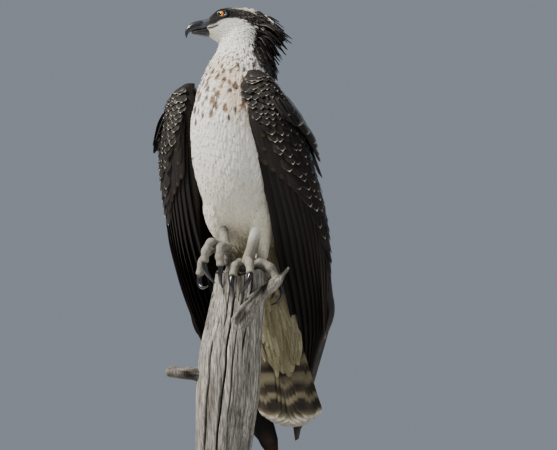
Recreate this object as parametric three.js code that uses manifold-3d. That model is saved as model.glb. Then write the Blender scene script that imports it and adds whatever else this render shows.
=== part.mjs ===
// A young osprey, life size, perched on the broken top of a dead trunk that a display stand holds up.
// Millimetres, +Z up. The viewer is on the -Y side: the breast faces the viewer, turned to the
// viewer's left, and the head is in profile towards -X. Both wings hang loosely at the sides.
import * as THREE from "three";
import { mergeVertices } from "three/addons/utils/BufferGeometryUtils.js";
import Module from "manifold-3d";

const wasm = await Module();
wasm.setup();

const DEG = Math.PI / 180;
const GAP = 0.4;
const VANE_THICK = 0.7;
const LAYER = 1.1;

// Driving sizes of the bird's pose
const BODY_YAW = 25 * DEG;
const HEAD_YAW = 7 * DEG;
const STAND_OVER = { x: 8, y: -15 };
const PERCH_TOP_Z = 286;
const NECK_TOP_Z = 606;
const NECK_CUT_Z = 552;
const HEAD_CENTRE = new THREE.Vector3(3, -20, 617);

const UP = new THREE.Vector3(0, 0, 1);
const AHEAD = new THREE.Vector3(-Math.sin(BODY_YAW), -Math.cos(BODY_YAW), 0);
const ASIDE = new THREE.Vector3().crossVectors(UP, AHEAD);
const BILLWARD = new THREE.Vector3(-Math.cos(HEAD_YAW), -Math.sin(HEAD_YAW), 0);
const CHEEKWARD = new THREE.Vector3().crossVectors(UP, BILLWARD);

// A point f ahead of the perch, l to the bird's left, and z above the floor
const bodyPoint = (f, l, z) =>
  new THREE.Vector3(STAND_OVER.x, STAND_OVER.y, z).addScaledVector(AHEAD, f).addScaledVector(ASIDE, l);
// A point u towards the bill, v to the bird's left and w above the middle of the head
const headPoint = (u, v, w) =>
  HEAD_CENTRE.clone().addScaledVector(BILLWARD, u).addScaledVector(CHEEKWARD, v).addScaledVector(UP, w);

// Rows of sizes whose first column runs one way: the others are read between rows on a smooth curve.
function along(rows, at) {
  const falling = rows[0][0] > rows[rows.length - 1][0];
  const list = falling ? [...rows].reverse() : rows;
  let i = 0;
  while (i < list.length - 2 && at > list[i + 1][0]) i++;
  const from = list[i];
  const to = list[i + 1];
  const before = list[Math.max(i - 1, 0)];
  const after = list[Math.min(i + 2, list.length - 1)];
  const span = to[0] - from[0];
  const t = Math.min(Math.max((at - from[0]) / span, 0), 1);
  return from.map((a, k) => {
    const b = to[k];
    const slopeIn = ((b - before[k]) / (to[0] - before[0])) * span;
    const slopeOut = ((after[k] - a) / (after[0] - from[0])) * span;
    const t2 = t * t;
    const t3 = t2 * t;
    const leaving = (2 * t3 - 3 * t2 + 1) * a + (t3 - 2 * t2 + t) * slopeIn;
    return leaving + (3 * t2 - 2 * t3) * b + (t3 - t2) * slopeOut;
  });
}

const mix = (a, b, t) => a + (b - a) * t;
const steps = (n) => Array.from({ length: n + 1 }, (_, i) => i / n);

// A closed solid from points and triangles, turned to face out.
function solidFrom(points, triangles) {
  const geometry = new THREE.BufferGeometry().setFromPoints(points);
  geometry.setIndex(triangles);
  return solidOf(geometry);
}

function solidOf(geometry) {
  const bare = geometry.clone();
  bare.deleteAttribute("normal");
  bare.deleteAttribute("uv");
  const merged = mergeVertices(bare, 1e-4);
  const triVerts = new Uint32Array(merged.index.array);
  const vertProperties = merged.attributes.position.array;
  const build = () => new wasm.Manifold(new wasm.Mesh({ numProp: 3, vertProperties, triVerts }));
  const made = build();
  if (made.volume() >= 0) return made;
  for (let i = 0; i < triVerts.length; i += 3) {
    [triVerts[i + 1], triVerts[i + 2]] = [triVerts[i + 2], triVerts[i + 1]];
  }
  return build();
}

// Rings of equally many points, closed at both ends by a pole.
function loft(rings, firstPole, lastPole) {
  const n = rings[0].length;
  const points = [firstPole, ...rings.flat(), lastPole];
  const triangles = [];
  const last = points.length - 1;
  for (let j = 0; j < n; j++) {
    const next = (j + 1) % n;
    triangles.push(0, 1 + next, 1 + j);
    for (let i = 0; i < rings.length - 1; i++) {
      const a = 1 + i * n;
      const b = a + n;
      triangles.push(a + j, a + next, b + j, a + next, b + next, b + j);
    }
    const end = 1 + (rings.length - 1) * n;
    triangles.push(end + j, end + next, last);
  }
  return solidFrom(points, triangles);
}

// A thin sheet between two like grids of points, split into triangles alike on both faces.
function sheet(outer, inner) {
  const rows = outer.length;
  const cols = outer[0].length;
  const points = [...outer.flat(), ...inner.flat()];
  const far = rows * cols;
  const triangles = [];
  const quad = (a, b, c, d) => triangles.push(a, b, c, a, c, d);
  for (let i = 0; i < rows - 1; i++) {
    for (let j = 0; j < cols - 1; j++) {
      const [a, b, c, d] = [i * cols + j, i * cols + j + 1, (i + 1) * cols + j + 1, (i + 1) * cols + j];
      quad(a, b, c, d);
      triangles.push(far + a, far + c, far + b, far + a, far + d, far + c);
    }
  }
  const rim = [];
  for (let j = 0; j < cols - 1; j++) rim.push([j, j + 1]);
  for (let i = 0; i < rows - 1; i++) rim.push([i * cols + cols - 1, (i + 1) * cols + cols - 1]);
  for (let j = cols - 1; j > 0; j--) rim.push([(rows - 1) * cols + j, (rows - 1) * cols + j - 1]);
  for (let i = rows - 1; i > 0; i--) rim.push([i * cols, (i - 1) * cols]);
  for (const [p, q] of rim) quad(q, p, far + p, far + q);
  return solidFrom(points, triangles);
}

// A feather: points along its shaft, with the way across it and the way out of it at each, and its
// half widths from root to tip.
function vane(stations, thick = VANE_THICK) {
  const face = (out) =>
    stations.map(({ at, across, normal, half, thin = 1 }) =>
      [-1, 1].map((side) =>
        at.clone().addScaledVector(across, side * half).addScaledVector(normal, out * thick * thin),
      ),
    );
  return sheet(face(0.5), face(-0.5));
}

// A round bar along points, with a radius at each and a smooth end.
function bar(points, radii, sides = 10) {
  const end = points.length - 1;
  let guide = null;
  const rings = points.map((p, i) => {
    const run = points[Math.min(i + 1, end)].clone().sub(points[Math.max(i - 1, 0)]).normalize();
    guide ??= Math.abs(run.z) > 0.9 ? AHEAD : UP;
    const one = guide.clone().addScaledVector(run, -run.dot(guide)).normalize();
    const two = new THREE.Vector3().crossVectors(run, one);
    guide = one;
    return steps(sides).slice(0, -1).map((s) => {
      const turn = s * 2 * Math.PI;
      const across = one.clone().multiplyScalar(Math.cos(turn)).addScaledVector(two, Math.sin(turn));
      return p.clone().addScaledVector(across, radii[i]);
    });
  });
  const tail = points[0].clone().sub(points[1]).setLength(radii[0] * 0.5).add(points[0]);
  const tip = points[end].clone().sub(points[end - 1]).setLength(radii[end] * 0.7).add(points[end]);
  return loft(rings, tail, tip);
}

const toPoints = (list) => list.map(([f, l, z]) => bodyPoint(f, l, z));

// Points on a smooth curve through a few.
const curve = (points, n) => new THREE.CatmullRomCurve3(points, false, "centripetal").getSpacedPoints(n);

const join = (solids) => wasm.Manifold.union(solids);

// The largest closed surface of a solid
function largest(solid) {
  const bodies = solid.decompose();
  return bodies.reduce((best, one) => (one.volume() > best.volume() ? one : best));
}

const root = new THREE.Group();

function add(name, solid, material) {
  const mesh = largest(solid).getMesh();
  const geometry = new THREE.BufferGeometry();
  geometry.setAttribute("position", new THREE.BufferAttribute(mesh.vertProperties.slice(), 3));
  geometry.setIndex(new THREE.BufferAttribute(mesh.triVerts.slice(), 1));
  geometry.computeVertexNormals();
  const made = new THREE.Mesh(geometry, material);
  made.name = name;
  root.add(made);
}

const finish = (color, roughness, metalness = 0) =>
  new THREE.MeshStandardMaterial({ color, roughness, metalness });
const MATERIAL = {
  white: finish(0xe6e3d8, 0.9),
  brown: finish(0x2c2622, 0.8),
  barred: finish(0x6d6553, 0.8),
  bill: finish(0x23262b, 0.4),
  claw: finish(0x1b1b1d, 0.35),
  eye: finish(0xe58a1c, 0.1),
  foot: finish(0xb9b6a6, 0.75),
  wood: finish(0x9c968c, 0.95),
  stand: finish(0x2b2b2d, 0.6),
  steel: finish(0x8d8f93, 0.35, 1),
};

// The body from the neck to the end of the undertail coverts: height, middle ahead of the perch and
// aside of it, half width, depth in front of the middle and behind it
const BODY = [
  [606, 4, 0, 27, 27, 29],
  [590, 3, 0, 31, 32, 34],
  [575, 3, 0, 37, 37, 38],
  [557, 6, 0, 45, 46, 43],
  [535, 12, 0, 51, 52, 47],
  [510, 18, 0, 57, 59, 52],
  [480, 20, 0, 61, 62, 57],
  [440, 14, 0, 62, 61, 60],
  [400, 2, 0, 59, 58, 58],
  [365, -14, 0, 53, 51, 52],
  [335, -36, 0.5, 45, 39, 40],
  [305, -56, 2, 38, 23, 27],
  [270, -64, 4.5, 33, 18, 18],
  [235, -72, 7, 30, 16, 7],
  [200, -81, 10, 26, 11, 5],
  [172, -90, 13, 16, 5, 3],
];
const BODY_ROUND = 18;
const TORSO_LOW_Z = 172;

function bodyRing(z, grow = 0) {
  const [, middle, aside, half, front, back] = along(BODY, z);
  return steps(BODY_ROUND).slice(0, -1).map((s) => {
    const turn = s * 2 * Math.PI;
    const reach = Math.cos(turn) > 0 ? front + grow : back + grow;
    return bodyPoint(middle + reach * Math.cos(turn), aside + (half + grow) * Math.sin(turn), z);
  });
}

function bodyShell(zTop, zLow, rows, grow = 0) {
  const rings = steps(rows).map((t) => bodyRing(mix(zTop, zLow, t), grow));
  const pole = (z) => bodyPoint(along(BODY, z)[1], along(BODY, z)[2], z);
  return loft(rings, pole(zTop).setZ(zTop + grow), pole(zLow).setZ(zLow - grow));
}

const torsoSolid = (grow = 0) => bodyShell(NECK_CUT_Z, TORSO_LOW_Z, 16, grow);
const neckSolid = (grow = 0) => bodyShell(NECK_TOP_Z, NECK_CUT_Z + GAP, 5, grow);

// The head from the base of the bill back: distance towards the bill, top, middle, bottom, half width
const HEAD = [
  [43, 3.5, -4, -13, 7],
  [40, 8.5, -3, -17, 11],
  [35, 14.5, -2, -20.5, 15],
  [27, 20.8, 0, -25, 19],
  [14, 24.4, 1, -30, 22.5],
  [0, 24.6, 0, -33, 24.5],
  [-14, 21.8, -1, -33, 25],
  [-27, 16, -4, -31, 22.5],
  [-37, 9, -7, -25, 16.5],
  [-43, 1, -9, -18, 9],
];
const HEAD_ROUND = 14;
const HEAD_RINGS = [40, 35, 27, 20, 10, 0, -10, -20, -30, -37];

function headRing(u, grow = 0) {
  const [, top, middle, bottom, half] = along(HEAD, u);
  return steps(HEAD_ROUND).slice(0, -1).map((s) => {
    const turn = s * 2 * Math.PI;
    const reach = Math.sin(turn) > 0 ? top - middle + grow : middle - bottom + grow;
    return headPoint(u, (half + grow) * Math.cos(turn), middle + reach * Math.sin(turn));
  });
}

function headShell(grow = 0) {
  const rings = [43 + grow, ...HEAD_RINGS, -43 - grow].map((u) => headRing(u, grow));
  return loft(rings, headPoint(44.5 + grow, 0, -5), headPoint(-45 - grow, 0, -9));
}

// Eyes
const EYE_RADIUS = 7.8;
const EYE_AXIS = { u: 0.32, v: 0.94, w: 0.08 };
const LID = { radius: 6.7, thick: 1.5, out: 4.2 };
const EYE_AT = { u: 21, v: 13.2, w: 9.2 };
const sideAxis = (side) =>
  new THREE.Vector3()
    .addScaledVector(BILLWARD, EYE_AXIS.u)
    .addScaledVector(CHEEKWARD, EYE_AXIS.v * side)
    .addScaledVector(UP, EYE_AXIS.w)
    .normalize();

function eyeball(side, grow = 0) {
  const ball = new THREE.SphereGeometry(EYE_RADIUS + grow, 12, 8);
  const at = headPoint(EYE_AT.u, EYE_AT.v * side, EYE_AT.w);
  return solidOf(ball.translate(at.x, at.y, at.z));
}

// The lids: a ring round the part of the eye that shows
function lids(side) {
  const axis = sideAxis(side);
  const ring = new THREE.TorusGeometry(LID.radius, LID.thick, 4, 12);
  ring.applyQuaternion(new THREE.Quaternion().setFromUnitVectors(UP, axis));
  const at = headPoint(EYE_AT.u, EYE_AT.v * side, EYE_AT.w).addScaledVector(axis, LID.out);
  return solidOf(ring.translate(at.x, at.y, at.z));
}

// The brow over each eye, from the bill back, and its radii
const BROW = [[34, 10, 10], [27, 14, 15.2], [19, 16.6, 17], [8, 18, 15.6]];
const BROW_RADII = [1.6, 2.4, 2.8, 2.8, 2.2, 1.4];

function brow(side) {
  const points = BROW.map(([u, v, w]) => headPoint(u, v * side, w));
  return bar(curve(points, BROW_RADII.length - 1), BROW_RADII, 8);
}

// The upper half of the bill, base to hook: ridge, lower edge and half width
const UPPER_BILL = [
  { ridge: [37, 9], edge: [31, -3.5], half: 9.5 },
  { ridge: [42, 6.6], edge: [38, -5.8], half: 9 },
  { ridge: [47, 5.3], edge: [44, -7.6], half: 8 },
  { ridge: [53, 4], edge: [51, -9.2], half: 7 },
  { ridge: [59, 2.1], edge: [57, -10.3], half: 6 },
  { ridge: [64.5, -1.3], edge: [61, -11.2], half: 5 },
  { ridge: [68.2, -5.6], edge: [63.7, -12], half: 3.9 },
  { ridge: [70, -10.6], edge: [65.6, -13.4], half: 2.8 },
  { ridge: [70, -15.2], edge: [66.9, -16.2], half: 1.7 },
  { ridge: [69, -18.6], edge: [67.4, -18.8], half: 0.8 },
];
const LOWER_BILL = [
  { ridge: [32, -7], edge: [30, -14.5], half: 8 },
  { ridge: [40, -8.2], edge: [40, -16.6], half: 7.6 },
  { ridge: [47, -10], edge: [46.5, -15.9], half: 6.4 },
  { ridge: [54, -11.4], edge: [53.5, -15], half: 5 },
  { ridge: [59.5, -12.6], edge: [59, -14.4], half: 3.2 },
];
const BILL_ROUND = 10;

function billHalf(rows, base, tip, grow = 0) {
  const rings = rows.map(({ ridge, edge, half }) => {
    const middle = [(ridge[0] + edge[0]) / 2, (ridge[1] + edge[1]) / 2];
    const rise = [(ridge[0] - edge[0]) / 2, (ridge[1] - edge[1]) / 2];
    const size = Math.hypot(...rise);
    return steps(BILL_ROUND).slice(0, -1).map((s) => {
      const turn = s * 2 * Math.PI;
      const lift = Math.sin(turn) * (1 + grow / size);
      return headPoint(middle[0] + rise[0] * lift, (half + grow) * Math.cos(turn), middle[1] + rise[1] * lift);
    });
  });
  return loft(rings, headPoint(base[0], 0, base[1]), headPoint(tip[0], 0, tip[1]));
}

const upperBill = (grow = 0) => billHalf(UPPER_BILL, [31, 2], [68.3, -20.2 - grow], grow);
const lowerBill = (grow = 0) => billHalf(LOWER_BILL, [29, -11], [62, -13.4], grow);

function nostril(side) {
  const slit = new THREE.SphereGeometry(1, 8, 5);
  slit.scale(2.6, 3, 1.1);
  const at = headPoint(47, 7.6 * side, 0.4);
  slit.rotateY(25 * DEG);
  slit.rotateZ(HEAD_YAW);
  return solidOf(slit.translate(at.x, at.y, at.z));
}

function head() {
  const flesh = join([headShell(), lids(1), lids(-1), brow(1), brow(-1), ...crestOnHead()]);
  return flesh
    .subtract(eyeball(1, GAP))
    .subtract(eyeball(-1, GAP))
    .subtract(upperBill(GAP))
    .subtract(lowerBill(GAP));
}

// Crest feathers of the nape, pointed and standing off at the back of the head
function pointedVane(from, direction, normal, length, width) {
  const across = new THREE.Vector3().crossVectors(direction, normal).normalize();
  const out = new THREE.Vector3().crossVectors(across, direction).normalize();
  const shape = [
    [0, 0.5],
    [0.35, 1],
    [0.7, 0.75],
    [1, 0.12],
  ];
  const stations = shape.map(([t, wide]) => ({
    at: from.clone().addScaledVector(direction, t * length).addScaledVector(out, -0.08 * length * t * t),
    across,
    normal: out,
    half: (width / 2) * wide,
  }));
  return vane(stations, 0.8);
}

// Tiers of crest: distance back, height on the head, sideways reach, droop, length and count
const CREST_HEAD = [
  { u: -24, w: 15, reach: 9, droop: 12, length: 40, count: 2 },
  { u: -30, w: 9, reach: 13, droop: 20, length: 42, count: 3 },
  { u: -34, w: 1, reach: 15, droop: 32, length: 42, count: 4 },
  { u: -35, w: -8, reach: 15, droop: 45, length: 42, count: 3 },
];

function crestOnHead() {
  const made = [];
  for (const { u, w, reach, droop, length, count } of CREST_HEAD) {
    for (let i = 0; i < count; i++) {
      const s = count === 1 ? 0 : (2 * i) / (count - 1) - 1;
      const from = headPoint(u + 5 * s * s, reach * s, w - 2 * s * s);
      const tilt = (droop + 4 * (i % 2)) * DEG;
      const direction = new THREE.Vector3()
        .addScaledVector(BILLWARD, -Math.cos(tilt))
        .addScaledVector(UP, -Math.sin(tilt))
        .addScaledVector(CHEEKWARD, 0.22 * s)
        .normalize();
      const normal = new THREE.Vector3().addScaledVector(UP, 1).addScaledVector(CHEEKWARD, 0.8 * s).normalize();
      made.push(pointedVane(from, direction, normal, length * (1 - 0.12 * Math.abs(s)), 11));
    }
  }
  return made;
}

// Tiers of long nape feathers down the back of the neck: height, droop, length
const NAPE = [
  { z: 588, droop: 42, length: 42, count: 4 },
  { z: 574, droop: 54, length: 38, count: 4 },
  { z: 562, droop: 66, length: 34, count: 4 },
];

function napeFeathers() {
  const made = [];
  for (const { z, droop, length, count } of NAPE) {
    const [, middle, , half, , back] = along(BODY, z);
    for (let i = 0; i < count; i++) {
      const s = (2 * i) / (count - 1) - 1;
      const turn = (180 - 14 + 50 * s) * DEG;
      const outward = AHEAD.clone().multiplyScalar(Math.cos(turn)).addScaledVector(ASIDE, Math.sin(turn));
      const from = bodyPoint(middle + (back - 5) * Math.cos(turn), (half - 5) * Math.sin(turn), z);
      const tilt = (droop + 3 * (i % 2)) * DEG;
      const direction = outward.clone().multiplyScalar(Math.cos(tilt)).addScaledVector(UP, -Math.sin(tilt));
      const normal = outward.clone().multiplyScalar(Math.sin(tilt)).addScaledVector(UP, Math.cos(tilt));
      made.push(pointedVane(from, direction, normal, length, 12));
    }
  }
  return made;
}

function neck() {
  return join([neckSolid(), ...napeFeathers()])
    .subtract(headShell(GAP))
    .subtract(torsoSolid(GAP));
}

// The outer face of a folded wing: height, middle ahead, front and rear depth, half spread,
// and the turns at which the front edge and the rear edge lie, in degrees from straight ahead
const WING = [
  [537, 50, 14, 20, 56, 60, 115],
  [528, 50, 20, 34, 68, 48, 128],
  [508, 48, 25, 56, 82, 32, 138],
  [474, 38, 34, 70, 95, 28, 146],
  [440, 20, 42, 76, 104, 27, 150],
  [400, 2, 46, 78, 109, 27, 152],
  [350, -20, 44, 70, 111, 32, 152],
  [300, -40, 40, 58, 106, 42, 152],
  [250, -56, 36, 50, 95, 56, 152],
  [200, -76, 30, 44, 82, 70, 150],
];

// How the two wings differ in the pose: shift to the side, lift, and how much wider the low end is
const WING_POSE = {
  [1]: { shift: -5, lift: 3, wider: 5 },
  [-1]: { shift: 4.5, lift: -5, wider: -3 },
};

// A point on a wing's outer face: side 1 is the bird's left, v runs from the front edge to the rear
// edge, and out is the distance off the face
function wingPoint(side, z, v, out = 0) {
  const [, middle, front, rear, spread, first, last] = along(WING, z);
  const { shift, lift, wider } = WING_POSE[side];
  const turn = mix(first, last, v) * DEG;
  const reach = Math.cos(turn) > 0 ? front : rear;
  const swell = spread + (wider * Math.min(Math.max(420 - z, 0), 150)) / 150;
  const away = new THREE.Vector2(Math.cos(turn) / reach, Math.sin(turn) / swell).normalize();
  const f = middle + reach * Math.cos(turn) + away.x * out;
  const l = swell * Math.sin(turn) + away.y * out;
  return bodyPoint(f, (l + shift) * side, z + lift);
}

// The line that a wing's face bends round
function wingAxis(side, z) {
  const { shift, lift } = WING_POSE[side];
  return bodyPoint(along(WING, z)[1], shift * side, z + lift);
}

function wingNormal(side, z, v) {
  const at = wingPoint(side, z, v);
  return wingPoint(side, z, v, 1).sub(at).normalize();
}

// How deep the arm of the wing is under its outer face, by height
const ARM_DEPTH = [
  [537, 16],
  [528, 26],
  [505, 40],
  [480, 40],
  [450, 30],
  [420, 18],
  [370, 12],
  [300, 9],
  [250, 7],
];
const ARM_TOP = 537;
const ARM_LOW_FRONT = 310;
const ARM_LOW_REAR = 260;

function arm(side) {
  const rows = 8;
  const cols = 6;
  const face = (deep) =>
    steps(rows).map((t) =>
      steps(cols).map((v) => {
        const z = mix(ARM_TOP, mix(ARM_LOW_FRONT, ARM_LOW_REAR, v), t);
        const round = 0.25 + 0.75 * Math.sin(Math.PI * (0.08 + 0.84 * v));
        const at = wingPoint(side, z, v);
        const inward = wingAxis(side, z).sub(at).normalize();
        return at.addScaledVector(inward, deep ? along(ARM_DEPTH, z)[1] * round : 0);
      }),
    );
  return sheet(face(false), face(true));
}

// A rounded feather along a curve, whose face turns from one normal to another
function featherAlong(points, normals, width, rows, tipFrom = 0.8) {
  const path = new THREE.CatmullRomCurve3(points, false, "centripetal");
  const stations = steps(rows).map((t) => {
    const run = path.getTangentAt(t);
    const across = new THREE.Vector3().crossVectors(normals[0].clone().lerp(normals[1], t), run).normalize();
    const normal = new THREE.Vector3().crossVectors(run, across).normalize();
    const late = (t - tipFrom) / (1.02 - tipFrom);
    const shape = late < 0 ? mix(0.6, 1, Math.min(1, t * 2.5)) : Math.sqrt(1 - late * late);
    return { at: path.getPointAt(t), across, normal, half: (width / 2) * shape };
  });
  return vane(stations);
}

// A feather that lies on the wing's face: root and tip give height, place across and height off it
function tile(side, root, tip, width, rows) {
  const at = (t) => wingPoint(side, mix(root.z, tip.z, t), mix(root.v, tip.v, t), mix(root.out, tip.out, t));
  const normals = [wingNormal(side, root.z, root.v), wingNormal(side, tip.z, tip.v)];
  return featherAlong([at(0), at(0.5), at(1)], normals, width, rows, 0.66);
}

// Tips of the long outer feathers, innermost first: ahead, aside and height, for each wing. The
// longest pass behind the tail.
const PRIMARY_TIPS = {
  [1]: [
    [-92, 82, 214], [-101, 73, 202], [-110, 64, 186], [-123, 50, 152], [-135, 37, 118], [-143, 27, 92], [-147, 21, 76],
  ],
  [-1]: [
    [-86, 90, 214], [-95, 83, 198], [-105, 74, 178], [-119, 60, 140], [-131, 47, 104], [-141, 34, 74], [-146, 24, 55],
  ],
};
const PRIMARY_WIDTH = 26;
const SECONDARIES = 5;
const SECONDARY_WIDTH = 40;
const SHOULDER_WIDTH = 32;

function flightFeathers(side) {
  const made = [];
  const tips = PRIMARY_TIPS[side];
  tips.forEach(([f, l, z], k) => {
    const s = k / (tips.length - 1);
    const root = { z: mix(340, 410, s), v: mix(0.5, 0.08, s) };
    const layer = 3 + LAYER * k;
    const dorsal = AHEAD.clone().multiplyScalar(-0.7).addScaledVector(ASIDE, side * 0.7).normalize();
    const from = wingPoint(side, root.z, root.v, -layer);
    const tip = bodyPoint(f, l * side, z).addScaledVector(dorsal, -LAYER * k);
    const below = wingPoint(side, root.z - 70, root.v + 0.03 - 0.09 * s, -layer);
    const bow = 5 + (side > 0 ? 2 : 7) * s;
    const late = below.clone().lerp(tip, 0.55);
    late.addScaledVector(ASIDE, side * bow).addScaledVector(AHEAD, -4 - 20 * s);
    made.push(featherAlong([from, below, late, tip], [wingNormal(side, root.z, root.v), dorsal], PRIMARY_WIDTH, 5));
  });
  for (let k = 0; k < SECONDARIES; k++) {
    const s = k / (SECONDARIES - 1);
    const layer = k % 2 ? LAYER : 0;
    const root = { z: mix(300, 325, s), v: mix(0.93, 0.42, s), out: -1.6 - layer };
    const tip = { z: mix(238, 206, s), v: mix(0.9, 0.4, s), out: 3 - layer };
    made.push(tile(side, root, tip, SECONDARY_WIDTH, 2));
  }
  return made;
}

// Long feathers of the shoulder that stand off behind the wing: height of root and tip, stand-off
const SHOULDER = [
  { from: 512, to: 462, out: 10, v: 0.56 },
  { from: 506, to: 448, out: 13, v: 0.62 },
  { from: 498, to: 432, out: 15, v: 0.68 },
  { from: 488, to: 414, out: 15, v: 0.74 },
];

function shoulderFeathers(side) {
  return SHOULDER.map(({ from, to, out, v }, i) => {
    const root = { z: from, v, out: -2 - LAYER * (SHOULDER.length - i) };
    return tile(side, root, { z: to, v: v - 0.02, out }, SHOULDER_WIDTH, 2);
  });
}

// Rows of coverts that lie over one another like tiles, raised off the arm towards their tips
const COVERT_ROWS = [
  { z: 506, length: 36, count: 3, from: 0.08, to: 0.92 },
  { z: 468, length: 46, count: 4, from: 0.06, to: 0.94 },
  { z: 420, length: 56, count: 5, from: 0.06, to: 0.94 },
  { z: 362, length: 66, count: 4, from: 0.08, to: 0.94 },
];

function coverts(side) {
  const made = [];
  COVERT_ROWS.forEach(({ z, length, count, from, to }, row) => {
    const wide = wingPoint(side, z, to).sub(wingPoint(side, z, from)).length();
    for (let i = 0; i < count; i++) {
      const v = mix(from, to, (i + (row % 2 ? 0.7 : 0.3)) / count);
      const layer = i % 2 ? LAYER : 0;
      const root = { z: z + 4, v, out: -1.8 - layer };
      const tip = { z: z - length, v: mix(v, 0.5, 0.05), out: 2.8 - layer };
      made.push(tile(side, root, tip, (wide / count) * 1.1, 2));
    }
  });
  return made;
}

function wing(side) {
  return join([arm(side), ...flightFeathers(side), ...coverts(side), ...shoulderFeathers(side)])
    .subtract(torsoSolid(GAP))
    .subtract(neckSolid(GAP));
}

// Tail: twelve feathers, the middle pair on the back
const TAIL_ROOT = { f: -61, l: 1, z: 300 };
const TAIL_TIP = { f: -116, l: 18, z: 92 };
const TAIL_FEATHERS = 12;
const TAIL_FEATHER_HALF = 15;
const STUMP = { points: [[-54, 1, 306], [-64, 3, 285], [-74, 5, 260], [-84, 8, 232]], radii: [14, 17, 15, 8] };

function tail() {
  const made = [];
  for (let k = 0; k < TAIL_FEATHERS; k++) {
    const s = (2 * k) / (TAIL_FEATHERS - 1) - 1;
    const layer = Math.abs(s) * 5.4 + (s > 0 ? 0.5 : 0);
    const stations = steps(5).map((t) => {
      const f = mix(TAIL_ROOT.f, TAIL_TIP.f, t) - 6 + layer * 1.05;
      const l = mix(TAIL_ROOT.l, TAIL_TIP.l, t) + s * mix(9, 33, t);
      const z = mix(TAIL_ROOT.z, TAIL_TIP.z + 13 * s * s, t);
      const shape = t < 0.84 ? mix(0.5, 1, Math.min(1, t * 2)) : 0.78;
      return {
        at: bodyPoint(f, l, z),
        across: ASIDE.clone(),
        normal: AHEAD.clone(),
        half: TAIL_FEATHER_HALF * (t === 1 ? 0.45 : shape),
      };
    });
    made.push(vane(stations, VANE_THICK));
  }
  const stump = bar(toPoints(STUMP.points), STUMP.radii, 10);
  return join([stump, ...made]).subtract(torsoSolid(GAP));
}

// Legs, as places ahead, aside and up: the feathered thigh, then the shank down to the foot
const LEG = {
  left: {
    thigh: [[8, 27, 392], [6, 29, 366], [-4, 28, 338], [-10, 25, 312], [-9, 22, 300]],
    thighRadii: [20, 22, 18, 12, 8],
    shank: [[8, 29, 352], [9, 24, 332], [9, 18, 312], [9, 13, 299]],
    foot: [9, 11, 294],
  },
  right: {
    thigh: [[10, -26, 392], [12, -28, 368], [9, -27, 346], [4, -24, 330]],
    thighRadii: [20, 21, 16, 9],
    shank: [[8, -23, 354], [14, -20, 342], [20, -15, 330], [24, -12, 321]],
    foot: [26, -11, 318],
  },
};
const SHANK_RADII = [9, 8.2, 7.6, 8];

// A bar of n steps along a few places on the body, with its radii read along it.
function limb(places, radii, n, sides, grow) {
  return bar(curve(toPoints(places), n), spread(radii, n).map((r) => r + grow), sides);
}

const thighSolid = (leg, grow = 0) => limb(leg.thigh, leg.thighRadii, 6, 14, grow);
const shankSolid = (leg, grow = 0) => limb(leg.shank, SHANK_RADII, 5, 12, grow);

// A few sizes read at more, evenly spaced places
function spread(sizes, n) {
  const rows = sizes.map((size, i) => [i, size]);
  return steps(n).map((t) => along(rows, t * (sizes.length - 1))[1]);
}

// Toes: the points of each from the foot to the root of its claw, and the claw's points on from there
const TOES = {
  left: [
    {
      toe: [[12, 14, 293], [26, 23, 299], [36, 30, 292], [40, 33, 281]],
      claw: [[43, 34, 277], [46, 32, 268], [45, 27, 260], [41, 22, 256]],
    },
    {
      toe: [[10, 8, 293], [24, 8, 297], [35, 8, 290], [39, 8, 279]],
      claw: [[42, 8, 275], [45, 9, 266], [43, 10, 257], [38, 11, 251]],
    },
    {
      toe: [[6, 14, 293], [4, 30, 299], [1, 43, 291], [-2, 50, 277]],
      claw: [[-2, 54, 269], [-2, 58, 258], [-2, 53, 248], [-2, 43, 244]],
    },
    {
      toe: [[2, 11, 292], [-9, 16, 297], [-21, 21, 293], [-29, 25, 285]],
      claw: [[-33, 27, 281], [-36, 30, 272], [-35, 30, 263], [-32, 29, 256]],
    },
  ],
  right: [
    {
      toe: [[28, -15, 318], [30, -30, 315], [27, -42, 301], [25, -47, 285]],
      claw: [[24, -48, 280], [25, -47, 272], [28, -41, 267], [32, -31, 268]],
    },
    {
      toe: [[32, -16, 320], [45, -21, 322], [52, -24, 311], [52, -26, 297]],
      claw: [[52, -26, 292], [52, -23, 283], [49, -18, 275], [44, -15, 270]],
    },
    {
      toe: [[31, -10, 317], [42, -8, 315], [47, -7, 304], [46, -6, 292]],
      claw: [[46, -6, 288], [47, -6, 279], [45, -6, 270], [40, -6, 264]],
    },
    {
      toe: [[20, -12, 316], [8, -15, 315], [-1, -19, 309], [-8, -23, 302]],
      claw: [[-12, -26, 301], [-20, -29, 300], [-28, -32, 291], [-31, -33, 281]],
    },
  ],
};
const TOE_RADII = [7.2, 6.4, 5.8, 6.2, 5.4];
const CLAW_RADII = [3.6, 3.3, 2.7, 1.9, 0.9];
const TOE_STEPS = 5;
const CLAW_STEPS = 5;

const PALM = { radius: 9.5, scale: [1.15, 1.15, 0.85] };

const toeSolid = ({ toe }, grow = 0) => limb(toe, TOE_RADII, TOE_STEPS, 8, grow);
const clawSolid = ({ toe, claw }) => limb([toe[toe.length - 1], ...claw], CLAW_RADII, CLAW_STEPS, 6, 0);

function footSolid(name, grow = 0) {
  const palm = new THREE.SphereGeometry(PALM.radius + grow, 10, 6);
  palm.scale(...PALM.scale);
  const at = bodyPoint(...LEG[name].foot);
  return join([solidOf(palm.translate(at.x, at.y, at.z)), ...TOES[name].map((toe) => toeSolid(toe, grow))]);
}

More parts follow.
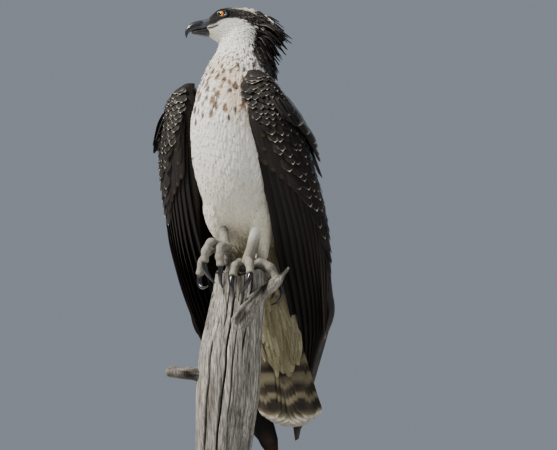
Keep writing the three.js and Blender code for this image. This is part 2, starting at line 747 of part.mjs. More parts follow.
// The dead trunk: height, middle in X, radius
const TRUNK = [
  [45, -16.5, 33.5],
  [60, -15.3, 34.5],
  [92, -13, 37],
  [124, -9.4, 39.4],
  [156, -6.3, 39.4],
  [188, -3.9, 39],
  [239, 4, 36],
  [272, 8.7, 34],
  [286, 9.3, 33],
];
const TRUNK_ROUND = 28;
const CRACK = { turn: -96 * DEG, width: 0.16, depth: 7 };

function trunkPoint(turn, z, grow = 0) {
  const [, x, radius] = along(TRUNK, z);
  const ribs = 1.3 * Math.sin(3 * turn + 0.02 * z) + 0.9 * Math.sin(7 * turn - 0.013 * z + 1);
  const off = Math.atan2(Math.sin(turn - CRACK.turn), Math.cos(turn - CRACK.turn));
  const crack = CRACK.depth * Math.exp(-((off / CRACK.width) ** 2));
  const reach = radius + ribs - crack + grow;
  return new THREE.Vector3(x + reach * Math.cos(turn), STAND_OVER.y + reach * Math.sin(turn), z);
}

function trunkShell(grow = 0) {
  const turns = steps(TRUNK_ROUND).slice(0, -1).map((s) => s * 2 * Math.PI);
  const levels = [45, 75, 110, 150, 190, 230, 262];
  const rings = levels.map((z) => turns.map((turn) => trunkPoint(turn, z, grow)));
  rings.push(turns.map((turn) => trunkPoint(turn, PERCH_TOP_Z, grow).setZ(brokenTop(turn) + grow)));
  const low = new THREE.Vector3(-16.5, STAND_OVER.y, 45);
  const top = new THREE.Vector3(9.3, STAND_OVER.y, 287 + grow);
  return loft(rings, low, top);
}

const brokenTop = (turn) => PERCH_TOP_Z - 1 + 4 * Math.sin(2 * turn + 2.2) + 2.5 * Math.sin(5 * turn);

// Broken branches of the trunk: points and radii
const SPUR = { points: [[-2, -26, 276], [-4, -27, 292], [-6, -26, 303]], radii: [11, 8, 4] };
const STUB_LEFT = {
  points: [[-38, -16, 154], [-56, -18, 157], [-72, -20, 158], [-85, -22, 159]],
  radii: [11, 8.5, 7, 5],
};
const BRANCH = {
  points: [[9, -42, 220], [20, -47, 241], [35, -51, 257], [48, -54, 267], [60, -57, 277], [69, -60, 289]],
  radii: [15, 11.5, 8.5, 8, 6, 2.6],
};

function branchSolid({ points, radii }, n, grow = 0) {
  const path = points.map((p) => new THREE.Vector3(...p));
  return bar(curve(path, n), spread(radii, n).map((r) => r + grow), 10);
}

const perchSolid = (grow = 0) => join([trunkShell(grow), branchSolid(SPUR, 3, grow)]);

// Display stand
const BASE = { radius: 118, thick: 16, bevel: 4 };
const ROD = { radius: 9, x: -16.5 };

function standBase() {
  const { radius, thick, bevel } = BASE;
  const profile = [[0, 0], [radius, 0], [radius, thick - bevel], [radius - bevel, thick], [0, thick]];
  const turned = new THREE.LatheGeometry(profile.map(([r, z]) => new THREE.Vector2(r, z)), 40);
  return solidOf(turned.rotateX(Math.PI / 2));
}

function standRod() {
  const trunkLow = TRUNK[0][0];
  const rod = new THREE.CylinderGeometry(ROD.radius, ROD.radius, trunkLow - BASE.thick - 2 * GAP, 20);
  return solidOf(rod.rotateX(Math.PI / 2).translate(ROD.x, STAND_OVER.y, (trunkLow + BASE.thick) / 2));
}

function build() {
  add("stand_base", standBase(), MATERIAL.stand);
  add("stand_rod", standRod(), MATERIAL.steel);
  add("torso", torsoSolid(), MATERIAL.white);
  add("neck", neck(), MATERIAL.white);
  add("head", head().subtract(torsoSolid(GAP)), MATERIAL.white);
  add("bill_upper", upperBill().subtract(nostril(1)).subtract(nostril(-1)), MATERIAL.bill);
  add("bill_lower", lowerBill().subtract(upperBill(GAP)), MATERIAL.bill);
  for (const [name, side] of [["left", 1], ["right", -1]]) {
    const leg = LEG[name];
    const shank = shankSolid(leg).subtract(torsoSolid(GAP)).subtract(thighSolid(leg, GAP));
    const foot = footSolid(name).subtract(shankSolid(leg, GAP)).subtract(thighSolid(leg, GAP));
    add("eye_" + name, eyeball(side), MATERIAL.eye);
    add("wing_" + name, wing(side), MATERIAL.brown);
    add("thigh_" + name, thighSolid(leg).subtract(torsoSolid(GAP)), MATERIAL.white);
    add("shank_" + name, shank, MATERIAL.foot);
    add("foot_" + name, foot.subtract(perchSolid(GAP)), MATERIAL.foot);
    TOES[name].forEach((toe, i) => {
      add(`claw_${name}_${i + 1}`, clawSolid(toe).subtract(footSolid(name, GAP)), MATERIAL.claw);
    });
  }
  add("tail", tail(), MATERIAL.barred);
  add("perch_trunk", perchSolid(), MATERIAL.wood);
  add("perch_branch", branchSolid(BRANCH, 6).subtract(perchSolid(GAP)), MATERIAL.wood);
  add("perch_stub", branchSolid(STUB_LEFT, 4).subtract(perchSolid(GAP)), MATERIAL.wood);
}

build();

export default root;
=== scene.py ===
import math

import bpy
import numpy as np
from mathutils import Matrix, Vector
from mathutils.bvhtree import BVHTree
from mathutils.kdtree import KDTree


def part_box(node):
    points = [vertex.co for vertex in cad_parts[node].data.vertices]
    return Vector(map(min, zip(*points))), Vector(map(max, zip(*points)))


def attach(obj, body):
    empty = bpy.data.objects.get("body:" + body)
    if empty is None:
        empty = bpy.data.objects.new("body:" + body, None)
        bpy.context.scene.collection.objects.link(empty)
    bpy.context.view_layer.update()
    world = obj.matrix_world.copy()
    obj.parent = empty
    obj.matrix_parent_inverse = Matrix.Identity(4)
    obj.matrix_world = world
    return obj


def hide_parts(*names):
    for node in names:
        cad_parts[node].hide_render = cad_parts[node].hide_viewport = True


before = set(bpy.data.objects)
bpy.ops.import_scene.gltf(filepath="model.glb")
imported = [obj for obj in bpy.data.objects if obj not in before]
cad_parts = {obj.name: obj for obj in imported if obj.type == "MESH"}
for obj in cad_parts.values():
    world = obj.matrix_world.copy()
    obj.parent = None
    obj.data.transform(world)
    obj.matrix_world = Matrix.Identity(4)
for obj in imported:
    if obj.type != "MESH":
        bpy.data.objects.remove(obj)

MM = 0.001
rng = np.random.default_rng(11)
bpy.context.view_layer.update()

# Driving sizes of the pose, the same as those of the solids
BODY_YAW = math.radians(25)
HEAD_YAW = math.radians(7)
STAND_OVER = np.array([8.0, -15.0, 0.0])
HEAD_CENTRE = np.array([3.0, -20.0, 617.0])
PERCH_TOP_Z = 286.0
UP = np.array([0.0, 0.0, 1.0])
AHEAD = np.array([-math.sin(BODY_YAW), -math.cos(BODY_YAW), 0.0])
ASIDE = np.cross(UP, AHEAD)
BILLWARD = np.array([-math.cos(HEAD_YAW), -math.sin(HEAD_YAW), 0.0])
CHEEKWARD = np.cross(UP, BILLWARD)
COAT_DEPTH = 2.6


def rgb(red, green, blue):
    """A colour as it looks on a screen, as linear light."""
    c = np.array([red, green, blue]) / 255
    return np.where(c <= 0.04045, c / 12.92, ((c + 0.055) / 1.055) ** 2.4)


def spread(value):
    return np.asarray(value, float)[..., None]


def body_point(ahead, aside, z):
    return STAND_OVER + spread(ahead) * AHEAD + spread(aside) * ASIDE + spread(z) * UP


def head_point(u, v, w):
    return HEAD_CENTRE + spread(u) * BILLWARD + spread(v) * CHEEKWARD + spread(w) * UP


def head_place(points):
    away = points - HEAD_CENTRE
    return away @ BILLWARD, away @ CHEEKWARD, away @ UP


def unit(v):
    return v / np.maximum(np.linalg.norm(v, axis=-1, keepdims=True), 1e-9)


def mix(a, b, t):
    return a + (b - a) * t


def ramp(x, low, high):
    t = np.clip((np.asarray(x, float) - low) / (high - low), 0, 1)
    return t * t * (3 - 2 * t)


def ring(count):
    """Turns at even steps once round."""
    return np.linspace(0, 2 * math.pi, count, endpoint=False)


def along(rows, at):
    """Rows of sizes, read at places between them on a smooth curve."""
    table = np.array(sorted(rows), float)
    x = table[:, 0]
    at = np.asarray(at, float)
    i = np.clip(np.searchsorted(x, at, side="left") - 1, 0, len(x) - 2)
    before = np.maximum(i - 1, 0)
    after = np.minimum(i + 2, len(x) - 1)
    span = x[i + 1] - x[i]
    t = spread(np.clip((at - x[i]) / span, 0, 1))
    a, b = table[i], table[i + 1]
    slope_in = (b - table[before]) * spread(span / (x[i + 1] - x[before]))
    slope_out = (table[after] - a) * spread(span / (x[after] - x[i]))
    t2, t3 = t * t, t * t * t
    first = (2 * t3 - 3 * t2 + 1) * a + (t3 - 2 * t2 + t) * slope_in
    return np.moveaxis(first + (3 * t2 - 2 * t3) * b + (t3 - t2) * slope_out, -1, 0)


def curve(points, n):
    """Points at even steps along a smooth curve through a few."""
    points = np.asarray(points, float)
    chord = np.concatenate([[0], np.cumsum(np.linalg.norm(np.diff(points, axis=0), axis=1))])
    rows = [[s, *p] for s, p in zip(chord, points)]
    return np.moveaxis(along(rows, np.linspace(0, chord[-1], n))[1:], 0, -1)


def even(rows, n):
    """Rows of sizes at even steps, read at n even steps on a smooth curve."""
    return along([(i, *row) for i, row in enumerate(rows)], np.linspace(0, len(rows) - 1, n))[1:]


def sizes(values, n):
    return even([(value,) for value in values], n)[0]


class Waves:
    """Smooth noise: a sum of seeded waves, with a mean of zero and a spread of about one."""

    def __init__(self, scale, stretch=(1, 1, 1), count=40):
        self.k = rng.normal(size=(count, 3)) / scale / np.array(stretch)
        self.phase = rng.uniform(0, 2 * math.pi, count)

    def __call__(self, points):
        return np.sin(np.asarray(points) @ self.k.T + self.phase).sum(-1) * math.sqrt(2 / len(self.phase))


# Meshes
def placed(name, data):
    made = bpy.data.objects.new(name, data)
    bpy.context.scene.collection.objects.link(made)
    return made


def new_mesh(name, points, faces, tint=None, maps=None):
    """A mesh object from points in millimetres and arrays of faces of three or four corners."""
    faces = [np.asarray(f, np.int32) for f in faces if len(f)]
    corners = np.concatenate([f.ravel() for f in faces])
    counts = np.concatenate([np.full(len(f), f.shape[1]) for f in faces])
    mesh = bpy.data.meshes.new(name)
    mesh.vertices.add(len(points))
    mesh.vertices.foreach_set("co", (np.asarray(points, np.float32) * MM).ravel())
    mesh.loops.add(len(corners))
    mesh.loops.foreach_set("vertex_index", corners)
    mesh.polygons.add(len(counts))
    mesh.polygons.foreach_set("loop_start", np.concatenate([[0], np.cumsum(counts)[:-1]]).astype(np.int32))
    mesh.polygons.foreach_set("use_smooth", np.ones(len(counts), bool))
    mesh.update(calc_edges=True)
    if tint is not None:
        paint(mesh, tint)
    for key, uv in (maps or {}).items():
        layer = mesh.uv_layers.new(name=key)
        layer.data.foreach_set("uv", np.asarray(uv, np.float32)[corners].ravel())
    return placed(name, mesh)


def paint(mesh, tint):
    layer = mesh.color_attributes.new("tint", "FLOAT_COLOR", "POINT")
    rgba = np.ones((len(mesh.vertices), 4), np.float32)
    rgba[:, :3] = np.clip(tint, 0, 1)
    layer.data.foreach_set("color", rgba.ravel())


def vectors_of(mesh, key):
    out = np.empty(len(mesh.vertices) * 3, np.float32)
    mesh.vertices.foreach_get(key, out)
    return out.reshape(-1, 3).astype(float)


def points_of(mesh):
    return vectors_of(mesh, "co") / MM


def dress(piece, look, slot, *nodes):
    """Gives a piece its material, lets it ride on the body and hides the solids it stands for. The slot is
    not used.
    """
    piece.data.materials.clear()
    piece.data.materials.append(look)
    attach(piece, "root")
    if nodes:
        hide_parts(*nodes)
    return piece


def strip_faces(rows, cols, wrap=False):
    """Faces of a grid of points, whose columns close into a ring where wrap is set."""
    i, j = np.meshgrid(np.arange(rows - 1), np.arange(cols if wrap else cols - 1), indexing="ij")
    k = (j + 1) % cols
    return np.stack([i * cols + j, i * cols + k, (i + 1) * cols + k, (i + 1) * cols + j], -1).reshape(-1, 4)


def wrap_rows(rows, cols):
    """Faces that close the last ring of a grid back to its first."""
    j = np.arange(cols)
    k = (j + 1) % cols
    last = (rows - 1) * cols
    return np.stack([last + j, last + k, k, j], -1)


def repeated(faces, starts):
    """The faces of one grid, over again from each start."""
    return (faces + starts[:, None, None]).reshape(-1, 4)


def loft(grid, first_pole, last_pole):
    """Rings of points as a closed form: its points and faces."""
    rows, cols = grid.shape[:2]
    points = np.concatenate([grid.reshape(-1, 3), [first_pole], [last_pole]])
    j = np.arange(cols)
    k = (j + 1) % cols
    last = (rows - 1) * cols
    first_fan = np.stack([k, j, np.full(cols, rows * cols)], -1)
    last_fan = np.stack([last + j, last + k, np.full(cols, rows * cols + 1)], -1)
    return points, [strip_faces(rows, cols, True), first_fan, last_fan]


def tube(points, radii, sides=20):
    """A round bar along points, as a closed form."""
    points = np.asarray(points, float)
    run = unit(np.gradient(points, axis=0))
    one = [AHEAD if abs(run[0, 2]) > 0.9 else UP]
    for way in run:
        one.append(unit(one[-1] - way * (one[-1] @ way)))
    one = np.array(one[1:])
    two = np.cross(run, one)
    turn = ring(sides)[None, :, None]
    wide = np.asarray(radii, float)[:, None, None]
    grid = points[:, None] + wide * (np.cos(turn) * one[:, None] + np.sin(turn) * two[:, None])
    return loft(grid, points[0] - run[0] * radii[0] * 0.5, points[-1] + run[-1] * radii[-1] * 0.7)


def merged(forms):
    """Several closed forms as one list of points and faces."""
    points, faces, start = [], [], 0
    for p, parts in forms:
        points.append(p)
        faces += [np.asarray(f) + start for f in parts]
        start += len(p)
    return np.concatenate(points), faces


def fused(name, forms, voxel, smoothing):
    """Closed forms joined to one skin with no seam between them."""
    rough = new_mesh(name + "_rough", *merged(forms))
    remesh = rough.modifiers.new("fuse", "REMESH")
    remesh.mode = "VOXEL"
    remesh.voxel_size = voxel * MM
    smooth = rough.modifiers.new("soften", "SMOOTH")
    smooth.iterations = smoothing
    smooth.factor = 0.6
    mesh = bpy.data.meshes.new_from_object(rough.evaluated_get(bpy.context.evaluated_depsgraph_get()))
    bpy.data.objects.remove(rough)
    mesh.polygons.foreach_set("use_smooth", np.ones(len(mesh.polygons), bool))
    mesh.name = name
    return placed(name, mesh)


# Materials
class Look:
    """A principled material in the making."""

    def __init__(self, name, roughness, **extra):
        self.material = bpy.data.materials.new(name)
        self.material.use_nodes = True
        self.tree = self.material.node_tree
        self.shader = self.tree.nodes["Principled BSDF"]
        for key, value in {"Roughness": roughness, **extra}.items():
            self.shader.inputs[key.replace("_", " ")].default_value = value

    def node(self, kind, **values):
        made = self.tree.nodes.new("ShaderNode" + kind)
        for key, value in values.items():
            if key.replace("_", " ") in made.inputs:
                made.inputs[key.replace("_", " ")].default_value = value
            else:
                setattr(made, key, value)
        return made

    def join(self, output, socket):
        self.tree.links.new(output, socket)

    def maths(self, operation, *terms):
        """A sum on numbers and the outputs of other nodes."""
        made = self.node("Math", operation=operation)
        for socket, term in zip(made.inputs, terms):
            if isinstance(term, float):
                socket.default_value = term
            else:
                self.join(term, socket)
        return made.outputs["Value"]

    def tinted(self, scale, depth, stretch=(1, 1, 1), detail=4.0, reach=0.2):
        """Colour from the tint of the mesh, broken up by noise."""
        tint = self.node("Attribute", attribute_name="tint")
        place = self.node("TexCoord")
        mapping = self.node("Mapping", Scale=stretch)
        noise = self.node("TexNoise", Scale=scale, Detail=detail, Roughness=0.6)
        limits = {"From_Min": 0.5 - reach, "From_Max": 0.5 + reach, "To_Min": 1 - depth, "To_Max": 1 + depth}
        level = self.node("MapRange", **limits)
        blend = self.node("VectorMath", operation="MULTIPLY")
        self.join(place.outputs["Object"], mapping.inputs["Vector"])
        self.join(mapping.outputs["Vector"], noise.inputs["Vector"])
        self.join(noise.outputs["Fac"], level.inputs["Value"])
        self.join(tint.outputs["Color"], blend.inputs[0])
        self.join(level.outputs["Result"], blend.inputs[1])
        self.join(blend.outputs["Vector"], self.shader.inputs["Base Color"])
        return noise, place

    def bump(self, height, strength, distance):
        made = self.node("Bump", Strength=strength, Distance=distance)
        self.join(height, made.inputs["Height"])
        self.join(made.outputs["Normal"], self.shader.inputs["Normal"])
        return self.material


def feather_material(name, barbs, strength, roughness, sheen):
    """Vanes: fine barbs run slantwise from the shaft, read from the feather's own map."""
    look = Look(name, roughness, Sheen_Weight=sheen, Sheen_Roughness=0.5, Specular_IOR_Level=0.18)
    look.tinted(420.0, 0.16)
    split = look.node("SeparateXYZ")
    look.join(look.node("UVMap", uv_map="Lie").outputs["UV"], split.inputs["Vector"])
    side = look.maths("ABSOLUTE", split.outputs["X"])
    slant = look.maths("MULTIPLY_ADD", side, -0.9, split.outputs["Y"])
    wave = look.maths("SINE", look.maths("MULTIPLY", slant, barbs))
    return look.bump(wave, strength, 0.0004)


def wood_material():
    look = Look("dead_wood", 0.88, Specular_IOR_Level=0.25)
    noise, _ = look.tinted(900.0, 0.42, (1, 1, 0.07), 8.0, 0.07)
    return look.bump(noise.outputs["Fac"], 1.0, 0.0014)


def skin_material(name, roughness, cell, depth, strength, **extra):
    """Bare skin or horn with small scales."""
    look = Look(name, roughness, **extra)
    _, place = look.tinted(300.0, depth)
    scales = look.node("TexVoronoi", Scale=cell)
    look.join(place.outputs["Object"], scales.inputs["Vector"])
    return look.bump(scales.outputs["Distance"], strength, 0.0008)


def eye_material():
    look = Look("eye_wet", 0.06, Coat_Weight=1.0, Coat_Roughness=0.02, IOR=1.38)
    look.tinted(900.0, 0.18)
    return look.material


def plain_material(name, color, roughness, scale, depth, metallic=0.0):
    """A painted or brushed surface with a faint unevenness."""
    look = Look(name, roughness, Metallic=metallic)
    noise = look.node("TexNoise", Scale=scale, Detail=5.0)
    look.join(look.node("TexCoord").outputs["Object"], noise.inputs["Vector"])
    colors = look.node("ValToRGB")
    for end, factor in zip(colors.color_ramp.elements, (1 - depth, 1 + depth)):
        end.color = (*(color * factor), 1)
    look.join(noise.outputs["Fac"], colors.inputs["Fac"])
    look.join(colors.outputs["Color"], look.shader.inputs["Base Color"])
    return look.bump(noise.outputs["Fac"], 0.15, 0.0003)


# Colours
WHITE = rgb(236, 234, 226)
CREAM = rgb(212, 204, 178)
CROWN_BUFF = rgb(214, 200, 172)
BUFF = rgb(190, 150, 104)
RUSTY = rgb(124, 92, 62)
BREAST_BROWN = rgb(56, 43, 33)
DARK_BROWN = rgb(38, 31, 26)
BLACK_BROWN = rgb(22, 19, 18)
WARM_BROWN = rgb(66, 50, 38)
PALE_TIP = rgb(222, 214, 198)
DULL_TIP = mix(WARM_BROWN, PALE_TIP, 0.5)
HORN = rgb(22, 23, 25)
HORN_SHINE = rgb(62, 64, 68)
CERE = rgb(66, 72, 79)
LID_DARK, LID_PALE = rgb(26, 26, 28), rgb(84, 86, 84)
PUPIL, IRIS_INNER, IRIS_OUTER, EYE_RIM = rgb(6, 6, 8), rgb(248, 170, 40), rgb(214, 104, 10), rgb(16, 12, 8)
CHIN = rgb(176, 170, 122)
# Painted shade: an olive grey that the pale lower belly and undertail are tinted with.
SHADE_OLIVE = rgb(138, 130, 100)
# The tail's pale bars are dulled to olive grey as painted shade.
TAIL_PALE_SHADED, TAIL_DARK = rgb(122, 114, 92), rgb(46, 40, 33)
FOOT, FOOT_DARK = rgb(140, 136, 124), rgb(74, 71, 64)
CLAW = rgb(18, 18, 20)
WOOD, WOOD_DARK, WOOD_PALE = rgb(158, 152, 143), rgb(58, 54, 50), rgb(196, 190, 180)
BARK = rgb(72, 69, 63)

# The body from the neck to the end of the undertail coverts: height, middle ahead and aside of the
# perch, half width, depth in front of the middle and behind it
BODY = [
    (606, 4, 0, 27, 27, 29),
    (590, 3, 0, 31, 32, 34),
    (575, 3, 0, 37, 37, 38),
    (557, 6, 0, 45, 46, 43),
    (535, 12, 0, 51, 52, 47),
    (510, 18, 0, 57, 59, 52),
    (480, 20, 0, 61, 62, 57),
    (440, 14, 0, 62, 61, 60),
    (400, 2, 0, 59, 58, 58),
    (365, -14, 0, 53, 51, 52),
    (335, -36, 0.5, 45, 39, 40),
    (305, -56, 2, 38, 23, 27),
    (270, -64, 4.5, 33, 18, 18),
    (235, -72, 7, 30, 16, 7),
    (200, -81, 10, 26, 11, 5),
    (172, -90, 13, 16, 5, 3),
]


def body_surface(z, turn, grow=0.0):
    _, middle, aside, half, front, back = along(BODY, z)
    reach = np.where(np.cos(turn) > 0, front, back) + grow
    return body_point(middle + reach * np.cos(turn), aside + (half + grow) * np.sin(turn), z)


# The head from the base of the bill back: distance towards the bill, top, middle, bottom, half width
HEAD = [
    (43, 3.5, -4, -13, 7),
    (40, 8.5, -3, -17, 11),
    (35, 14.5, -2, -20.5, 15),
    (27, 20.8, 0, -25, 19),
    (14, 24.4, 1, -30, 22.5),
    (0, 24.6, 0, -33, 24.5),
    (-14, 21.8, -1, -33, 25),
    (-27, 16, -4, -31, 22.5),
    (-37, 9, -7, -25, 16.5),
    (-43, 1, -9, -18, 9),
]


def head_surface(u, turn, grow=0.0):
    _, top, middle, bottom, half = along(HEAD, u)
    reach = np.where(np.sin(turn) > 0, top - middle, middle - bottom) + grow
    return head_point(u, (half + grow) * np.cos(turn), middle + reach * np.sin(turn))


# Legs, and the line of each toe with that of its claw: ahead, aside and height
LEGS = {
    "left": {
        "thigh": [(8, 27, 392), (6, 29, 366), (-4, 28, 338), (-10, 25, 312), (-9, 22, 300)],
        "thigh_radii": [20, 22, 18, 12, 8],
        "shank": [(8, 29, 352), (9, 24, 332), (9, 18, 312), (9, 13, 299)],
        "foot": (9, 11, 294),
    },
    "right": {
        "thigh": [(10, -26, 392), (12, -28, 368), (9, -27, 346), (4, -24, 330)],
        "thigh_radii": [20, 21, 16, 9],
        "shank": [(8, -23, 354), (14, -20, 342), (20, -15, 330), (24, -12, 321)],
        "foot": (26, -11, 318),
    },
}
TOES = {
    "left": [
        ([(12, 14, 293), (26, 23, 299), (36, 30, 292), (40, 33, 281)],
         [(43, 34, 277), (46, 32, 268), (45, 27, 260), (41, 22, 256)]),
        ([(10, 8, 293), (24, 8, 297), (35, 8, 290), (39, 8, 279)],
         [(42, 8, 275), (45, 9, 266), (43, 10, 257), (38, 11, 251)]),
        ([(6, 14, 293), (4, 30, 299), (1, 43, 291), (-2, 50, 277)],
         [(-2, 54, 269), (-2, 58, 258), (-2, 53, 248), (-2, 43, 244)]),
        ([(2, 11, 292), (-9, 16, 297), (-21, 21, 293), (-29, 25, 285)],
         [(-33, 27, 281), (-36, 30, 272), (-35, 30, 263), (-32, 29, 256)]),
    ],
    "right": [
        ([(28, -15, 318), (30, -30, 315), (27, -42, 301), (25, -47, 285)],
         [(24, -48, 280), (25, -47, 272), (28, -41, 267), (32, -31, 268)]),
        ([(32, -16, 320), (45, -21, 322), (52, -24, 311), (52, -26, 297)],
         [(52, -26, 292), (52, -23, 283), (49, -18, 275), (44, -15, 270)]),
        ([(31, -10, 317), (42, -8, 315), (47, -7, 304), (46, -6, 292)],
         [(46, -6, 288), (47, -6, 279), (45, -6, 270), (40, -6, 264)]),
        ([(20, -12, 316), (8, -15, 315), (-1, -19, 309), (-8, -23, 302)],
         [(-12, -26, 301), (-20, -29, 300), (-28, -32, 291), (-31, -33, 281)]),
    ],
}
TOE_RADII = [7.2, 6.4, 5.8, 6.2, 5.4]
CLAW_RADII = [3.6, 3.3, 2.7, 1.9, 0.9]
BROW = [(36, 9, 7.5), (31, 12.8, 11), (25, 15.9, 13.6), (17, 18, 14.4), (7, 19.4, 12)]
BROW_RADII = [1.4, 2.8, 3.5, 3.2, 2.2, 1.0]
NECK_TOP = 606.0
UNDERTAIL_LOW = 206.0
SIDE_NAMES = {1: "left", -1: "right"}


def at_body(places):
    return np.array([body_point(*place) for place in places])


# Skin under the coat: body, head and thighs as one form
def make_skin():
    turn = ring(96)[None]
    z = np.linspace(NECK_TOP, UNDERTAIL_LOW, 150)[:, None]
    folds = Waves(13, (1, 1, 3.5))
    fold = 0.9 * np.tanh(folds(body_surface(z, turn, -COAT_DEPTH))) * ramp(-z, -500, -440)
    body = body_surface(z, turn, fold - COAT_DEPTH)
    head = head_surface(np.linspace(42, -42, 60)[:, None], turn, -1.6)
    forms = [
        loft(body, body[0].mean(0), body[-1].mean(0)),
        loft(head, head_point(43, 0, -5), head_point(-43.5, 0, -9)),
    ]
    for leg in LEGS.values():
        forms.append(tube(curve(at_body(leg["thigh"]), 24), sizes(leg["thigh_radii"], 24) - 1.5, 32))
    for side in SIDE_NAMES:
        brow = curve(head_point(*(np.array(BROW) * [1, side, 1]).T), 24)
        forms.append(tube(brow, sizes(BROW_RADII, 24), 14))
    return fused("skin", forms, 2.0, 10)


skin = make_skin()
skin_tree = BVHTree.FromObject(skin, bpy.context.evaluated_depsgraph_get())


def nearest_on_skin(points):
    """The places on the skin nearest to points, and the skin's normals there."""
    places, normals = np.empty((len(points), 3)), np.empty((len(points), 3))
    for i, p in enumerate(points * MM):
        places[i], normals[i], _, _ = skin_tree.find_nearest(Vector(p))
    return places / MM, normals


# Where the coat lies, how it runs and what colour it has
TAIL_ROOT = np.array([-61.0, 1.0, 300.0])
TAIL_TIP = np.array([-116.0, 18.0, 92.0])
TAILWARD = unit(body_point(*TAIL_TIP) - body_point(*TAIL_ROOT))
EYE_RADIUS = 7.8
EYE_AT = (21.0, 13.2, 9.2)
EYE_AXIS = (0.32, 0.94, 0.08)


def eye_place(side):
    return head_point(EYE_AT[0], EYE_AT[1] * side, EYE_AT[2])


def head_way(way, side):
    """A direction given in the head's own axes, as a unit vector and two more square to it."""
    axis = unit(way[0] * BILLWARD + way[1] * side * CHEEKWARD + way[2] * UP)
    one = unit(np.cross(axis, UP))
    return axis, one, np.cross(one, axis)


def headness(points):
    """One on the head, none on the body, with a soft change at the throat and nape."""
    return ramp(points[:, 2], 580, 598)


def lie_of(points):
    """Which way the coat runs at each point."""
    u, _, w = head_place(points)
    slope = 0.25 + 0.5 * ramp(-w, -5, 25) + 0.6 * ramp(-u, 0, 40)
    on_head = unit(-BILLWARD + spread(-slope) * UP)
    on_body = unit(mix(-UP, TAILWARD, spread(ramp(-points[:, 2], -345, -300))))
    return unit(mix(on_body, on_head, spread(headness(points))))


def body_turn(points):
    """The turn of a point round the body's own axis, none straight ahead, and its sign to the left."""
    _, middle, aside, *_ = along(BODY, points[:, 2])
    away = points - body_point(middle, aside, points[:, 2])
    return np.arctan2(away @ ASIDE, away @ AHEAD)


patches = Waves(16)
fine_patches = Waves(5)
streaks = Waves(2.2, count=60)

# The lower edge of the dark stripe through the eye, the edge of the dark nape and the lower edge of
# the streaked crown, each in places towards the bill and heights on the head
STRIPE_LOW = [(-9.3, -4.2), (2.1, 3.1), (12.6, 2.9), (23.1, 0.5), (31, -3.6), (42.8, -7)]
NAPE_EDGE = [(-44, -84), (-39, -75), (-32, -65), (-28, -61), (-19, -48), (-14, -39), (-11, -25), (-13, -16)]
NAPE_EDGE += [(-9.3, -4)]
CROWN_LOW = [(-45, 7), (-32, 9.5), (-14.5, 13.5), (-1.3, 17), (12, 20), (17, 26)]
STRIPE_END_W = -4.2


def read(places, at):
    """Reads the second number of a few places at the first."""
    x, y = np.array(places, float).T
    return np.interp(at, x, y)


def dark_of_head(points):
    """How dark the markings of head and nape are, one in the eye stripe, and where the crown lies."""
    u, v, w = head_place(points)
    rough = 1.6 * fine_patches(points)
    stripe = ramp(w - read(STRIPE_LOW, u) + 0.7 * rough, -1.2, 1.4)
    nape_u, nape_w = np.array(NAPE_EDGE, float).T
    nape = ramp(np.interp(w, nape_w, nape_u) - u + 1.4 * rough, -2.5, 2.5)
    crown = ramp(w - read(CROWN_LOW, u), -1, 1.5)
    flow = np.stack([0.22 * u, v, w], -1)
    pale = 0.95 * crown * ramp(streaks(flow), -0.35, -0.05)
    return np.where(w > STRIPE_END_W, stripe, nape) * (1 - pale), crown


def breast_band(points, dark):
    """Where the speckled band of the breast lies."""
    z = points[:, 2]
    front = ramp(np.cos(body_turn(points) + 0.3), -0.2, 0.4)
    return ramp(z, 468, 500) * ramp(-z, -588, -556) * front * (1 - dark)


def thighness(points):
    """One on the feathered thighs, none on the body round them."""
    off = np.full(len(points), 99.0)
    for leg in LEGS.values():
        for place in curve(at_body(leg["thigh"]), 12):
            off = np.minimum(off, np.linalg.norm(points - place, axis=1))
    return ramp(-off, -21, -15)


def coat_tint(points):
    """The coat's colour and how dark it is."""
    z = points[:, 2]
    u, _, w = head_place(points)
    dark_neck, crown = dark_of_head(points)
    mantle = ramp(np.abs(body_turn(points)), 1.85, 2.15) * ramp(z, 235, 262)
    dark = np.where(z > 560, dark_neck, np.maximum(mantle, dark_neck * ramp(z, 520, 560)))
    warm = breast_band(points, dark) * ramp(patches(points) + 0.5 * fine_patches(points), -0.3, 1.5)
    # Painted shade: the lower belly and the undertail are tinted olive grey, most low down, and the thighs
    # are kept out of it.
    shaded = 0.18 * ramp(-z, -460, -380) + 0.75 * ramp(-z, -350, -310)
    shaded = shaded * (1 - 0.95 * thighness(points) * ramp(-z, -370, -350))
    chin = ramp(u, 27, 37) * ramp(-w, 2, 9) * headness(points)
    # The lower body turns cream: partly a tint of its feathers, partly painted shade, as the cream is also
    # darker than the white.
    color = mix(WHITE, CREAM, spread(0.75 * ramp(-z, -450, -320)))
    color = mix(color, SHADE_OLIVE, spread(shaded))
    color = mix(color, BUFF, spread(0.5 * warm))
    color = mix(color, CROWN_BUFF, spread(0.8 * crown * headness(points)))
    color = mix(color, CHIN, spread(0.5 * chin))
    color = mix(color, BLACK_BROWN, spread(dark))
    return color * spread(1 + 0.04 * patches(points)), dark


